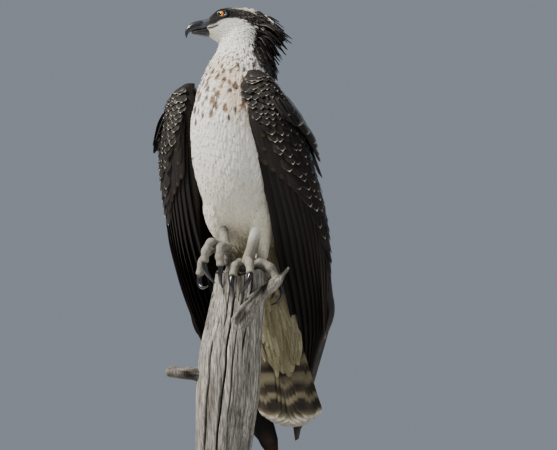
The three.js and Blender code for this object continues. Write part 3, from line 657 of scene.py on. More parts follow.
def coat_sizes(points):
    """Length and width of the feathers, how far apart they grow and how far their tips stand off."""
    z = points[:, 2]
    u = head_place(points)[0]
    head = headness(points)
    back = ramp(np.abs(body_turn(points)), 1.9, 2.2) * (1 - head)
    neck = ramp(z, 530, 575) * (1 - head)
    under = ramp(-z, -330, -260) * (1 - back)
    thigh = ramp(-z, -375, -345) * (1 - back) * (1 - under)
    eyes = np.minimum(*[np.linalg.norm(points - eye_place(side), axis=-1) for side in SIDE_NAMES])
    face = np.minimum(ramp(-eyes, -24, -10) + ramp(u, 26, 40) * 0.8, 1)
    crest = ramp(-u, 18, 34)
    length = mix(22 - 5 * neck + 12 * under + 6 * back - 8 * thigh, 9.5 - 4.5 * face + 7 * crest, head)
    width = mix(9.4 - 4.2 * neck + 3 * under + 6 * back - 3.5 * thigh, 2.6 - 0.9 * face + 1.4 * crest, head)
    gap = mix(4.2 - 0.9 * neck + 1.3 * under + 2.6 * back - 0.9 * thigh, 1.9 - 0.5 * face + 0.6 * crest, head)
    lift = mix(1.2 + 0.9 * neck - 0.2 * thigh, 1.3 - 0.7 * face + 0.8 * crest, head)
    return length, width, gap, lift


SMALL_GAP = 4.2
HEAD_SHARE = 6.0


def scatter(count):
    """Points spread over the skin, no closer than the feathers there grow."""
    mesh = skin.data
    mesh.calc_loop_triangles()
    tri = np.empty(len(mesh.loop_triangles) * 3, np.int32)
    mesh.loop_triangles.foreach_get("vertices", tri)
    corners = points_of(mesh)[tri.reshape(-1, 3)]
    area = np.linalg.norm(np.cross(corners[:, 1] - corners[:, 0], corners[:, 2] - corners[:, 0]), axis=1)
    weight = area * np.where(corners[:, 0, 2] > 585, HEAD_SHARE, 1.0)
    pick = rng.choice(len(area), count, p=weight / weight.sum())
    a, b = rng.random((2, count))
    flip = a + b > 1
    a, b = np.where(flip, 1 - a, a), np.where(flip, 1 - b, b)
    c = corners[pick]
    points = c[:, 0] + spread(a) * (c[:, 1] - c[:, 0]) + spread(b) * (c[:, 2] - c[:, 0])
    gap = coat_sizes(points)[2]
    taken, kept = {}, []
    for i, (p, g) in enumerate(zip(points, gap)):
        cell = tuple(np.floor(p / 4).astype(int))
        reach = range(-1, 2) if g <= SMALL_GAP else range(-2, 3)
        steps = ((x, y, z) for x in reach for y in reach for z in reach)
        near = (taken.get((cell[0] + x, cell[1] + y, cell[2] + z), ()) for x, y, z in steps)
        if all(((p - points[k]) ** 2).sum() > g * g for group in near for k in group):
            taken.setdefault(cell, []).append(i)
            kept.append(i)
    return points[kept]


def coat_keep(points):
    """Leaves out the bare places: the eyes and the base of the bill."""
    keep = (head_place(points)[0] < 39) | (points[:, 2] < 585)
    for side in SIDE_NAMES:
        front = eye_place(side) + 4.5 * head_way(EYE_AXIS, side)[0]
        keep &= np.linalg.norm(points - front, axis=1) > 7.2
    return keep


# Dark marks of the breast and neck: how far apart they lie, and how far one can reach
BLOT_GAP = 9.0
BLOT_REACH = 9.0


def make_blots():
    """Places, half lengths and colours of the marks, with a few small ones on the belly."""
    points = scatter(20000)
    dark = coat_tint(points)[1]
    band = breast_band(points, dark)
    stray = (points[:, 2] > 380) & (points[:, 2] < 600) & (dark < 0.05)
    likely = (rng.random(len(points)) < 0.5 * band) | (stray & (rng.random(len(points)) < 0.003))
    chosen = []
    for i in np.flatnonzero(likely):
        if all(np.linalg.norm(points[i] - points[j]) > BLOT_GAP * mix(1.5, 0.85, band[i]) for j in chosen):
            chosen.append(i)
    points, band = points[chosen], band[chosen]
    high = ramp(points[:, 2], 525, 560)
    large = rng.uniform(3.2, 6.0, len(points))
    size = mix(large, rng.uniform(2.2, 3.6, len(points)), high) * mix(0.45, 1, band)
    hue = mix(BREAST_BROWN, RUSTY, spread(rng.random(len(points)) * (1 - 0.8 * high)))
    return points, size, hue


def marked(points, tint):
    """Adds the marks to colours at points: each is a drop that runs along the lie of the coat."""
    places, halves, hues = blots
    tree = KDTree(len(places))
    for i, p in enumerate(places):
        tree.insert(p, i)
    tree.balance()
    run = lie_of(places)
    for k in np.flatnonzero((points[:, 2] > 370) & (points[:, 2] < 610)):
        _, i, off = tree.find(points[k])
        if off < BLOT_REACH:
            away = points[k] - places[i]
            down = away @ run[i]
            side = np.linalg.norm(away - down * run[i])
            wide = 0.62 * halves[i] * (1.2 + 0.3 * down / halves[i])
            inside = 1.25 - math.hypot(down / (1.5 * halves[i]), side / wide)
            if inside > 0:
                tint[k] = mix(tint[k], hues[i], min(1.0, inside / 0.4) * 0.92)
    return tint


blots = make_blots()


def skin_map(points):
    """Where points lie on an unwrap of the body and, above it, of the head."""
    u, v, w = head_place(points)
    on_head = headness(points) > 0.5
    across = np.where(on_head, np.arctan2(w + 2, v), body_turn(points)) / (2 * math.pi) % 1
    up = np.where(on_head, 0.66 + 0.32 * (u + 48) / 96, 0.02 + 0.6 * (points[:, 2] - 165) / 430)
    return np.stack([across * 0.98 + 0.01, up], -1)


FEATHER_ROWS = 6
FEATHER_SIDES = np.array([-1.0, -0.5, 0.0, 0.5, 1.0])


def lay_coat(name, points, slot, look):
    """Feathers that follow the skin from their roots, each a narrow vane with a soft, uneven tip."""
    color, dark = coat_tint(points)
    length, width, _, lift = coat_sizes(points)
    count, rows, s = len(points), FEATHER_ROWS, FEATHER_SIDES
    step = length * rng.uniform(0.85, 1.15, count) / (rows - 1)
    width = width * rng.uniform(0.8, 1.2, count)
    places, normals = nearest_on_skin(points)
    run = lie_of(points) + 0.11 * rng.normal(size=(count, 3))
    path, lean, out = [], [], []
    here = places
    for _ in range(rows):
        run = unit(run - spread((run * normals).sum(-1)) * normals)
        path.append(here)
        lean.append(run)
        out.append(normals)
        here, normals = nearest_on_skin(here + run * spread(step))
        run = unit(0.65 * run + 0.35 * lie_of(here))
    path, lean, out = np.stack(path, 1), np.stack(lean, 1), np.stack(out, 1)
    t = np.linspace(0, 1, rows)[:, None]
    half = spread(width / 2) * np.interp(t[:, 0], [0, 0.3, 0.6, 0.8, 1], [0.55, 1, 0.95, 0.75, 0.3])
    height = -0.5 + t[:, 0] ** 1.3 * spread(lift * rng.uniform(0.75, 1.25, count))
    ragged = rng.uniform(-0.55, 0.4, (count, rows, len(s))) * (t > 0.9) * step[:, None, None]
    grid = (
        path[:, :, None]
        + np.cross(out, lean)[:, :, None] * spread(spread(half) * s)
        + lean[:, :, None] * spread(ragged)
        + out[:, :, None] * spread(spread(height) - spread(half) * 0.3 * s * s)
    )
    # Each feather varies in tone at random, and is darker at its root as painted shade under the feathers
    # that overlap it.
    tone = rng.uniform(0.94, 1.05, (count, 1, 1)) * (0.9 + 0.12 * t) * np.ones(len(s))
    tint = color[:, None, None] * spread(tone)
    tint = marked(grid.reshape(-1, 3), tint.reshape(-1, 3)).reshape(tint.shape)
    fringed = (rng.random(count) < 0.5) * dark * rng.uniform(0.2, 0.7, count)
    rim = np.maximum(ramp(np.abs(s), 0.4, 1.0) * ramp(t, 0.3, 0.8), ramp(t, 0.85, 1.0))
    tint = mix(tint, mix(WARM_BROWN, PALE_TIP, 0.35), spread(rim * fringed[:, None, None]))
    back = (np.abs(body_turn(points)) > 1.9) & (points[:, 2] < 545) & (dark > 0.5)
    tint = mix(tint, PALE_TIP, spread(0.75 * back[:, None, None] * ramp(t, 0.86, 0.93) * np.ones(len(s))))
    own = np.stack(np.broadcast_arrays(s, t), -1)
    bake = skin_map(places)[:, None, None] + own * [0.0015, 0.003]
    maps = {"OFBake": bake.reshape(-1, 2), "Lie": np.tile((own * [1, 3]).reshape(-1, 2), (count, 1))}
    faces = repeated(strip_faces(rows, len(s)), np.arange(count) * rows * len(s))
    coat = new_mesh(name, grid.reshape(-1, 3), [faces], tint.reshape(-1, 3), maps)
    return dress(coat, look, slot)


COAT_PARTS = {
    "coat_face": (610, 700, "head_plumage"),
    "coat_cheek": (590, 610, "head_plumage"),
    "coat_neck": (545, 590, "pale_plumage"),
    "coat_breast": (450, 545, "pale_plumage"),
    "coat_belly": (350, 450, "pale_plumage"),
    "coat_under": (0, 350, "pale_plumage"),
}


def make_coat(look):
    points = scatter(240000)
    points = points[coat_keep(points)]
    for name, (low, high, slot) in COAT_PARTS.items():
        lay_coat(name, points[(points[:, 2] >= low) & (points[:, 2] < high)], slot, look)


def paint_skin():
    """The skin shows the coat's colours and marks, a little darker as painted shade between the feathers."""
    points = points_of(skin.data)
    paint(skin.data, marked(points, coat_tint(points)[0] * 0.85))


# Wings. The outer face of a folded wing: height, middle ahead, front and rear depth, half spread, and
# the turns at which the front edge and the rear edge lie, in degrees from straight ahead
WING = [
    (537, 50, 14, 20, 56, 60, 115),
    (528, 50, 20, 34, 68, 48, 128),
    (508, 48, 25, 56, 82, 32, 138),
    (474, 38, 34, 70, 95, 28, 146),
    (440, 20, 42, 76, 104, 27, 150),
    (400, 2, 46, 78, 109, 27, 152),
    (350, -20, 44, 70, 111, 32, 152),
    (300, -40, 40, 58, 106, 42, 152),
    (250, -56, 36, 50, 95, 56, 152),
    (200, -76, 30, 44, 82, 70, 150),
]
WING_POSE = {1: {"shift": -5, "lift": 3, "wider": 5}, -1: {"shift": 4.5, "lift": -5, "wider": -3}}
WIDER_BELOW, WIDER_OVER = 420, 150
ARM_DEPTH = [(537, 16), (528, 26), (505, 40), (480, 40), (450, 30), (420, 18), (370, 12), (300, 9), (250, 7)]
ARM_TOP = 537.0
ARM_LOW_FRONT, ARM_LOW_REAR = 310.0, 260.0
FEATHER_BED = -1.4
# The line in front of which long dark feathers show instead of tiers of coverts, by height
COVERT_FRONT = [(250, 0.66), (300, 0.48), (360, 0.32), (420, 0.22), (470, 0.12), (500, 0.04), (515, 0.0)]


def wing_point(side, z, v, out=0.0):
    """A point on a wing's outer face, by height, place from front to rear edge, and height off it."""
    _, middle, front, rear, half, first, last = along(WING, z)
    pose = WING_POSE[side]
    turn = np.radians(mix(first, last, v))
    reach = np.where(np.cos(turn) > 0, front, rear)
    swell = half + pose["wider"] * np.clip(WIDER_BELOW - z, 0, WIDER_OVER) / WIDER_OVER
    away = unit(np.stack(np.broadcast_arrays(np.cos(turn) / reach, np.sin(turn) / swell), -1))
    ahead = middle + reach * np.cos(turn) + away[..., 0] * out
    aside = swell * np.sin(turn) + away[..., 1] * out
    return body_point(ahead, (aside + pose["shift"]) * side, z + pose["lift"])


def wing_normal(side, z, v):
    return unit(wing_point(side, z, v, 1.0) - wing_point(side, z, v))


def wing_span(side, z):
    """The length of the wing's face from front to rear edge, by height."""
    line = wing_point(side, spread(z), np.linspace(0, 1, 24))
    return np.linalg.norm(np.diff(line, axis=-2), axis=-1).sum(-1)


def make_arm(side, look):
    """The flesh of the wing under its feathers."""
    t = np.linspace(0, 1, 40)[:, None]
    v = np.linspace(0, 1, 36)[None]
    z = mix(ARM_TOP, mix(ARM_LOW_FRONT, ARM_LOW_REAR, v), t)
    bare = ramp(read(COVERT_FRONT, z) - v, -0.1, 0.04) * ramp(-z, -512, -480)
    outer = wing_point(side, z, v, FEATHER_BED - 8 * bare)
    pose = WING_POSE[side]
    middle = body_point(along(WING, z)[1], pose["shift"] * side, z + pose["lift"])
    deep = along(ARM_DEPTH, z)[1] * (0.25 + 0.75 * np.sin(math.pi * (0.08 + 0.84 * v)))
    inner = outer + unit(middle - outer) * spread(deep)
    grid = np.concatenate([outer, inner[:, ::-1]], 1)
    name = SIDE_NAMES[side]
    arm = new_mesh("wing_flesh_" + name, *loft(grid, grid[0].mean(0), grid[-1].mean(0)), DARK_BROWN * 0.8)
    return dress(arm, look, "wing_feathers", "wing_" + name)


class Vanes:
    """Gathers feathers, grids of like size, into one mesh, with each in a cell of its own on the map."""

    def __init__(self, rows, cols):
        self.rows, self.cols = rows, cols
        self.grids, self.tints = [], []

    def add(self, grid, tint):
        self.grids.append(grid.reshape(-1, self.rows, self.cols, 3))
        self.tints.append(np.broadcast_to(tint, grid.shape).reshape(-1, self.rows, self.cols, 3))

    def make(self, name, look, slot, thick=0.0):
        """One mesh of the feathers, each a single layer or a closed vane with two."""
        grids, tints = np.concatenate(self.grids), np.concatenate(self.tints)
        count, size = len(grids), self.rows * self.cols
        own = np.stack(np.meshgrid(np.linspace(-1, 1, self.cols), np.linspace(0, 1, self.rows)), -1)
        one = strip_faces(self.rows, self.cols)
        layers = (1, -1) if thick else (1,)
        out = unit(np.cross(np.gradient(grids, axis=1), np.gradient(grids, axis=2))) if thick else 0.0
        cells = math.ceil(math.sqrt(count * len(layers)))
        points, cell_maps, faces = [], [], []
        for n, layer in enumerate(layers):
            index = np.arange(count) + n * count
            corner = np.stack([index % cells, index // cells], -1)[:, None, None]
            cell_maps.append(((corner + 0.08 + 0.84 * (own * [0.5, 1] + [0.5, 0])) / cells).reshape(-1, 2))
            points.append((grids + layer * thick / 2 * out).reshape(-1, 3))
            faces.append(repeated(one[:, ::layer], index * size))
        if thick:
            faces.append(repeated(self.rim(count * size), np.arange(count) * size))
        lie = np.tile(own.reshape(-1, 2) * [1, 6], (count * len(layers), 1))
        maps = {"OFBake": np.concatenate(cell_maps), "Lie": lie}
        colors = np.tile(tints.reshape(-1, 3), (len(layers), 1))
        return dress(new_mesh(name, np.concatenate(points), faces, colors, maps), look, slot)

    def rim(self, far):
        """Faces between the edges of one feather's two layers."""
        places = np.arange(self.rows * self.cols).reshape(self.rows, self.cols)
        edge = np.concatenate([places[0, :-1], places[:-1, -1], places[-1, :0:-1], places[:0:-1, 0]])
        after = np.roll(edge, -1)
        return np.stack([after, edge, edge + far, after + far], -1)


TILE_ROWS = np.array([0.0, 0.22, 0.45, 0.64, 0.76, 0.85, 0.91, 0.955, 1.0])
TILE_WIDE = np.array([0.5, 0.85, 1.0, 1.0, 0.95, 0.86, 0.74, 0.58, 0.26])
TILE_COLS = 7
TILE_LOW = 160


def tiles(side, tint, tip_tint, *measures):
    """Feathers on the wing's face, many at once: the places of their roots and their sizes as arrays."""
    t = TILE_ROWS[None, :, None]
    s = np.linspace(-1, 1, TILE_COLS)[None, None]
    z, v, length, width, rise, sweep, fringe, tip_from = (
        np.broadcast_to(measure, len(tint))[:, None, None] for measure in measures
    )
    wide = np.interp(t, TILE_ROWS, TILE_WIDE)
    height = np.clip(z - length * (t - 0.12 * s * s * t**3), TILE_LOW, ARM_TOP)
    place = v + sweep * t + s * wide * width / (2 * wing_span(side, z[:, 0, 0])[:, None, None])
    out = mix(FEATHER_BED, rise, t**0.8) - 0.9 * s * s * wide + 0.35 * s
    tip = ramp(t + 0.045 * s * s, tip_from - 0.035, tip_from + 0.01)
    edge = 0.8 * fringe * ramp(np.abs(s), 0.55, 1.0) * ramp(t, 0.5, 0.9)
    # Darker towards the root as painted shade under the tier above, with a paler shaft.
    base = tint[:, None, None] * spread((0.8 + 0.3 * t) * (1 + 0.3 * (np.abs(s) < 0.1)))
    color = mix(base, tip_tint[:, None, None], spread(np.maximum(tip, edge)))
    return wing_point(side, height, place, out), color


COVERTS_TOP, COVERTS_LOW, COVERTS_OVER = 533.0, 262, 270


def make_coverts(side, look):
    """Tiers of small feathers with pale tips, from the shoulder down."""
    vanes = Vanes(len(TILE_ROWS), TILE_COLS)
    z = COVERTS_TOP
    row = 0
    while z > COVERTS_LOW:
        t = (COVERTS_TOP - z) / COVERTS_OVER
        step = mix(5.6, 13.5, ramp(t, 0.02, 0.9))
        width = mix(8.5, 19, ramp(t, 0.02, 0.8))
        low, high = read(COVERT_FRONT, z) - 0.02, 0.98
        count = max(3, int(round((high - low) * wing_span(side, z) / (width * 0.78))))
        v = low + (high - low) * (np.arange(count) + 0.5 + 0.25 * (-1) ** row) / count
        v = v + rng.normal(size=count) * 0.06 / count
        tint = mix(BLACK_BROWN, DARK_BROWN, spread(0.6 * rng.random(count)))
        tint = tint * spread(rng.uniform(0.7, 1.3, count))
        front = ramp(-v, -0.34, -0.06) * ramp(z, 400, 450)
        small = ramp(-t, -0.2, -0.05)
        show = np.clip(rng.uniform(0.35, 1.0, count) + 0.4 * front + 0.3 * small, 0, 1)
        show = show * (rng.random(count) < mix(0.6, 0.56, ramp(z, 380, 500)) + 0.4 * front)
        measures = [
            z + 3 + 1.2 * rng.normal(size=count),
            v,
            step * rng.uniform(2.2, 2.6, count),
            width * rng.uniform(0.9, 1.1, count),
            rng.uniform(1.6, 2.8, count) + 0.8 * ramp(-z, -400, -350),
            0.015 + 0.01 * rng.normal(size=count),
            show * mix(0.04, 0.5, np.maximum(front, 0.2 * small)),
            rng.uniform(0.95, 0.985, count),
        ]
        vanes.add(*tiles(side, tint, mix(DARK_BROWN, PALE_TIP, spread(show)), *measures))
        z -= step
        row += 1
    return vanes.make("coverts_" + SIDE_NAMES[side], look, "wing_feathers")


LONG_ROWS = 26
LONG_COLS = 7
SHAFT = 0.1


def long_vane(points, first_normal, last_normal, width, camber=1.2, tip_from=0.86, lean=0.0, root=0.55):
    """One long flight feather along a curve, as a grid of points."""
    path = curve(points, LONG_ROWS)
    t = np.linspace(0, 1, LONG_ROWS)
    s = np.linspace(-1, 1, LONG_COLS)
    run = unit(np.gradient(path, axis=0))
    across = unit(np.cross(mix(first_normal, last_normal, spread(t)), run))
    out = np.cross(run, across)
    late = np.clip((t - tip_from) / (1.01 - tip_from), 0, 1)
    shape = np.where(late > 0, np.sqrt(1 - late**2), mix(root, 1, np.minimum(1, t * 2.5)))
    side = spread(width / 2 * shape) * (s + lean * (1 - s * s))
    height = -camber * s * s * spread(shape) + 0.35 * (np.abs(s) < SHAFT)
    return path[:, None] + across[:, None] * spread(side) + out[:, None] * spread(height)


def wing_vane(side, z, v, out, width, **shape):
    """A long feather along places on the wing's face."""
    normals = wing_normal(side, z[0], v[0]), wing_normal(side, z[-1], v[-1])
    return long_vane(wing_point(side, z, v, out), *normals, width, **shape)


def long_tint(base, tip, tip_from=0.955, edge=0.0, shade=1.0):
    """Colours of a long feather: dark, with a pale tip and shaft."""
    t = np.linspace(0, 1, LONG_ROWS)[:, None]
    s = np.linspace(-1, 1, LONG_COLS)[None]
    pale = ramp(t + 0.02 * np.cos(2 * s), tip_from - 0.015, tip_from + 0.015)
    rim = edge * ramp(np.abs(s), 0.75, 1.0) * np.ones_like(t)
    # Darker towards the root as painted shade under the feathers over it.
    color = base * spread(shade * (0.85 + 0.2 * t) * (1 + 0.5 * (np.abs(s) < SHAFT)))
    return mix(color, tip, spread(np.clip(np.maximum(pale, rim), 0, 1)))


# Tips of the long outer feathers, innermost first: ahead, aside and height, for each wing. The
# longest pass behind the tail.
PRIMARY_TIPS = {
    1: [(-92, 82, 214), (-101, 73, 202), (-110, 64, 186), (-123, 50, 152), (-135, 37, 118)]
    + [(-143, 27, 92), (-147, 21, 76)],
    -1: [(-86, 90, 214), (-95, 83, 198), (-105, 74, 178), (-119, 60, 140), (-131, 47, 104)]
    + [(-141, 34, 74), (-146, 24, 55)],
}
PRIMARIES = 11
SECONDARIES = 11


def make_flight_feathers(side, look):
    vanes = Vanes(LONG_ROWS, LONG_COLS)
    dorsal = unit(-0.7 * AHEAD + 0.7 * side * ASIDE)
    for k, (ahead, aside, z) in enumerate(curve(PRIMARY_TIPS[side], PRIMARIES)):
        s = k / (PRIMARIES - 1)
        root = mix(360, 470, s), mix(0.52, 0.05, s)
        layer = 0.6 + 0.7 * k
        start = wing_point(side, *root, 1.0 - layer)
        middle = wing_point(side, mix(330, 410, s), mix(0.51, 0.075, s), 1.0 - layer)
        below = wing_point(side, mix(270, 340, s), mix(0.53, 0.02, s), 0.4 - layer)
        tip = body_point(ahead, aside * side, z) - dorsal * layer
        bow = 5 + (2 if side > 0 else 7) * s
        late = mix(below, tip, 0.55) + ASIDE * side * bow - AHEAD * (4 + 20 * s)
        last = unit(0.04 * AHEAD + ASIDE) if side > 0 else dorsal
        width = mix(22, 28, s) if side > 0 else 31
        path = [start, middle, below, late, tip]
        grid = long_vane(path, wing_normal(side, *root), last, width, tip_from=0.9, lean=0.1)
        base = mix(BLACK_BROWN, DARK_BROWN, 0.6 * (1 - s))
        vanes.add(grid, long_tint(base, WARM_BROWN, 0.97, 0.0, rng.uniform(0.85, 1.2)))
    for k in range(SECONDARIES):
        s = k / (SECONDARIES - 1)
        z = np.linspace(mix(318, 345, s), mix(236, 204, s), 4)
        v = mix(0.95, 0.4, s) + np.zeros(4)
        out = np.array([-3.0, -1.6, -0.6, 0.8]) - 0.5 * (k % 2)
        tint = long_tint(DARK_BROWN, mix(WARM_BROWN, PALE_TIP, 0.4), 0.98, 0.03, rng.uniform(0.7, 1.1))
        vanes.add(wing_vane(side, z, v, out, 27), tint)
    return vanes.make("flight_feathers_" + SIDE_NAMES[side], look, "wing_feathers", 0.5)


HAND_COVERTS = 9
THUMB_FEATHERS = 3


def make_hand_coverts(side, look):
    """Narrow dark feathers over the roots of the long outer ones, and the few of the thumb."""
    vanes = Vanes(LONG_ROWS, LONG_COLS)
    for k in range(HAND_COVERTS + THUMB_FEATHERS):
        s = min(1, k / (HAND_COVERTS - 1))
        thumb = max(0, k - HAND_COVERTS + 1)
        top = mix(412, 498, s) + 5 * thumb
        length = mix(66, 84, s) - 12 * thumb
        z = np.linspace(top, top - length, 4)
        v = mix(0.40, 0.05, s) + np.linspace(0, 0.02, 4) + 0.012 * thumb
        out = np.array([-3.5, -0.6, 0.2, 0.6]) - 0.32 * k + 0.9 * thumb
        tint = long_tint(mix(BLACK_BROWN, DARK_BROWN, 0.3), WARM_BROWN, 0.97, 0.12, rng.uniform(0.8, 1.15))
        vanes.add(wing_vane(side, z, v, out, 15, tip_from=0.8), tint)
    return vanes.make("hand_coverts_" + SIDE_NAMES[side], look, "wing_feathers", 0.4)


# Long feathers of the shoulder: height of root and tip, stand-off of the tip and place across
SHOULDER = [
    (514, 474, 6, 0.46),
    (512, 466, 9, 0.54),
    (506, 452, 12.5, 0.61),
    (498, 436, 14.5, 0.67),
    (488, 416, 14.5, 0.74),
]
SHOULDER_FEATHERS = 15


def make_shoulder(side, look):
    """Long feathers of the shoulder, which stand off behind the wing."""
    vanes = Vanes(LONG_ROWS, LONG_COLS)
    for k, (top, low, out, v) in enumerate(even(SHOULDER, SHOULDER_FEATHERS).T):
        z = np.linspace(top, low + 3 * rng.normal(), 4)
        bed = -1 - 0.45 * (SHOULDER_FEATHERS - k)
        tip = out + rng.normal() - 0.3 * (k % 2)
        rise = np.interp(np.arange(4), [0, 1, 3], [bed, mix(bed, out, 0.5), tip])
        path = wing_point(side, z, v + np.linspace(0, 0.03, 4) + 0.02 * rng.normal(), rise)
        normals = wing_normal(side, top, v), wing_normal(side, low, v)
        tint = long_tint(BLACK_BROWN, DULL_TIP, 0.985, 0.03, rng.uniform(0.8, 1.2))
        vanes.add(long_vane(path, *normals, 27, 2.4), tint)
    return vanes.make("shoulder_" + SIDE_NAMES[side], look, "wing_feathers", 0.5)


# Tail
TAIL_FEATHERS = 12
TAIL_ROWS, TAIL_COLS = LONG_ROWS * 2, 9
TAIL_BANDS = [(0.30, 0.36), (0.42, 0.48), (0.53, 0.585), (0.645, 0.70), (0.765, 0.83), (0.87, 0.945)]
BAND_EDGE = 0.012


def make_tail(look):
    vanes = Vanes(TAIL_ROWS, TAIL_COLS)
    t = np.linspace(0, 1, TAIL_ROWS)
    s = np.linspace(-1, 1, TAIL_COLS)
    dark = sum(
        ramp(t, start - BAND_EDGE, start + BAND_EDGE) * (1 - ramp(t, end - BAND_EDGE, end + BAND_EDGE))
        for start, end in TAIL_BANDS
    )
    late = np.clip((t - 0.93) / 0.085, 0, 1)
    half = 15.5 * np.where(late > 0, np.sqrt(1 - 0.75 * late**2), mix(0.5, 1, np.minimum(1, 2 * t)))
    for k in range(TAIL_FEATHERS):
        place = 2 * k / (TAIL_FEATHERS - 1) - 1
        layer = abs(place) * 5.4 + (0.5 if place > 0 else 0)
        ahead = mix(TAIL_ROOT[0], TAIL_TIP[0], t) - 6 + layer * 1.05
        aside = mix(TAIL_ROOT[1], TAIL_TIP[1], t) + place * mix(9, 33, t)
        z = mix(TAIL_ROOT[2], TAIL_TIP[2] + 13 * place * place, t)
        grid = (
            body_point(ahead, aside, z)[:, None]
            + ASIDE * spread(spread(half) * s)
            + AHEAD * spread(0.5 * s * s * np.ones_like(spread(t)))
            + UP * spread(3.5 * s * s * spread(ramp(t, 0.85, 1)))
        )
        wavy = np.clip(dark[:, None] * (1 + 0.15 * np.sin(3 * s + k)), 0, 1)
        tip = ramp(t[:, None] + 0.01 * s * s + 0.006 * np.sin(9 * s + 3 * k), 0.966, 0.984)
        tint = mix(mix(TAIL_PALE_SHADED, TAIL_DARK, spread(wavy)), PALE_TIP, spread(tip))
        vanes.add(grid, tint * rng.uniform(0.92, 1.05))
    return vanes.make("tail_feathers", look, "tail_feathers", 0.5)


def make_tail_coverts(look):
    """Feathers over the root of the tail on the back."""
    vanes = Vanes(LONG_ROWS, LONG_COLS)
    t = np.linspace(0, 1, 4)
    for row, (top, low, count) in enumerate([(300, 236, 7), (308, 252, 7), (318, 268, 6)]):
        for place in np.arange(count) * 2 / (count - 1) - 1:
            z = mix(top, low, t)
            down = (TAIL_ROOT[2] - z) / (TAIL_ROOT[2] - TAIL_TIP[2])
            ahead = mix(TAIL_ROOT[0], TAIL_TIP[0], down) - 8 - 3 * row - 2 * t + 5 * place * place
            path = body_point(ahead, place * mix(20, 24, t) + mix(1, 8, t), z)
            normal = -AHEAD + 0.3 * place * ASIDE
            tint = long_tint(DARK_BROWN, PALE_TIP, 0.95, 0.1, rng.uniform(0.9, 1.1))
            vanes.add(long_vane(path, normal, normal, 18), tint)
    return vanes.make("tail_coverts", look, "tail_feathers", 0.5)


UNDERTAIL_ROWS = np.arange(330, 196, -8.0)
UNDERTAIL_ACROSS = 9
UNDERTAIL_END = 166


def make_undertail(look):
    """Long soft feathers under the root of the tail, which end in a point on it."""
    vanes = Vanes(LONG_ROWS, LONG_COLS)
    for row, top in enumerate(UNDERTAIL_ROWS):
        low_down = ramp(-top, -300, -220)
        for k in range(UNDERTAIL_ACROSS):
            across = (k + 0.25 + 0.5 * (row % 2)) / UNDERTAIL_ACROSS
            turn = math.radians(mix(-100, 100, across) + 3 * rng.normal())
            length = mix(40, 56, low_down) * rng.uniform(0.85, 1.15)
            side = math.sin(turn)
            end = UNDERTAIL_END + 26 * side**2 * (1 if turn < 0 else 0.35) + 4 * rng.normal()
            z = np.linspace(top, max(top - length, end), 5)
            path = body_surface(z, np.linspace(turn, turn * 0.9, 5))
            path = path + AHEAD * spread(np.linspace(-3.4, 0.4, 5))
            path = path + ASIDE * spread(ramp(-z, -335, -190) * (10 * side + 3))
            path = path - AHEAD * spread(0.62 * np.maximum(0, UNDERTAIL_END + 10 - z))
            normal = unit(math.cos(turn) * AHEAD + side * ASIDE)
            # Painted shade: the undertail feathers are mostly olive grey instead of cream.
            base = mix(CREAM, SHADE_OLIVE, 0.75 + 0.3 * rng.random())
            tint = long_tint(base, base * 1.12, 0.93, 0.15, rng.uniform(0.85, 1.05))
            vanes.add(long_vane(path, normal, normal, mix(13, 15, low_down), 1.8, 0.5), tint)
    return vanes.make("undertail", look, "pale_plumage")


# Crest and nape, tier by tier down the back of the head: root towards the bill and height on the
# head, droop in degrees, length and reach to the sides
CREST = [
    (-8, 22, 4, 18, 9),
    (-15, 20, 6, 22, 11),
    (-22, 17, 10, 28, 13),
    (-28, 12, 15, 32, 15),
    (-32, 6, 20, 34, 17),
    (-35, -1, 26, 34, 18),
    (-36, -8, 32, 32, 19),
    (-36, -15, 38, 31, 20),
    (-35, -22, 43, 31, 21),
    (-33, -29, 47, 31, 22),
    (-32, -36, 52, 29, 23),
    (-31, -44, 58, 27, 25),
    (-31, -52, 64, 25, 27),
    (-32, -60, 70, 23, 29),
    (-34, -68, 74, 20, 31),
]
CREST_ACROSS = 17
PALE_TIERS = 5


def make_crest(look):
    """Pointed feathers of the crest and nape, dark with paler rims, and some pale on the crown."""
    vanes = Vanes(LONG_ROWS, LONG_COLS)
    for row, (u, w, droop, length, reach) in enumerate(CREST):
        for k in range(CREST_ACROSS):
            s = 2 * (k + 0.25 + 0.5 * (row % 2)) / CREST_ACROSS - 1 + 0.05 * rng.normal()
            root_u = u + 0.45 * reach * s * s + rng.normal()
            root = head_point(root_u, reach * s, w - 2.5 * s * s + rng.normal())
            tilt = math.radians(droop + 5 * rng.normal() + 10 * s * s)
            run = unit(-BILLWARD * math.cos(tilt) - UP * math.sin(tilt) + CHEEKWARD * 0.2 * s)
            outward = unit(UP * math.cos(tilt) - BILLWARD * math.sin(tilt) + CHEEKWARD * 1.1 * s)
            pale = row < PALE_TIERS and rng.random() < 0.6
            size = 0.9 * length * rng.uniform(0.7, 1.08) * (1 - 0.25 * s * s) * (0.7 if pale else 1)
            place, normal = nearest_on_skin(root[None])
            start = place[0] - normal[0] * 0.6
            bend = outward * size * 0.05 * rng.normal()
            middle = start + run * size * 0.5 + outward * 1.6 + bend
            path = [start, middle, start + run * size + bend * 2 - UP * 3.5]
            if pale:
                base, tip, edge = mix(CROWN_BUFF, WHITE, 0.5), BLACK_BROWN, 0.1
                width, tip_from = 3.4, 0.9
            else:
                base, tip = mix(BLACK_BROWN, DARK_BROWN, rng.random()), mix(WARM_BROWN, PALE_TIP, 0.45)
                edge = 0.75 * rng.random() ** 2
                width, tip_from = 6.6, 1.2
            grid = long_vane(path, outward, outward, width * rng.uniform(0.75, 1.25), 1.1, 0.45, root=0.7)
            vanes.add(grid, long_tint(base, tip, tip_from, edge, rng.uniform(0.75, 1.2)))
    return vanes.make("crest_feathers", look, "head_plumage")


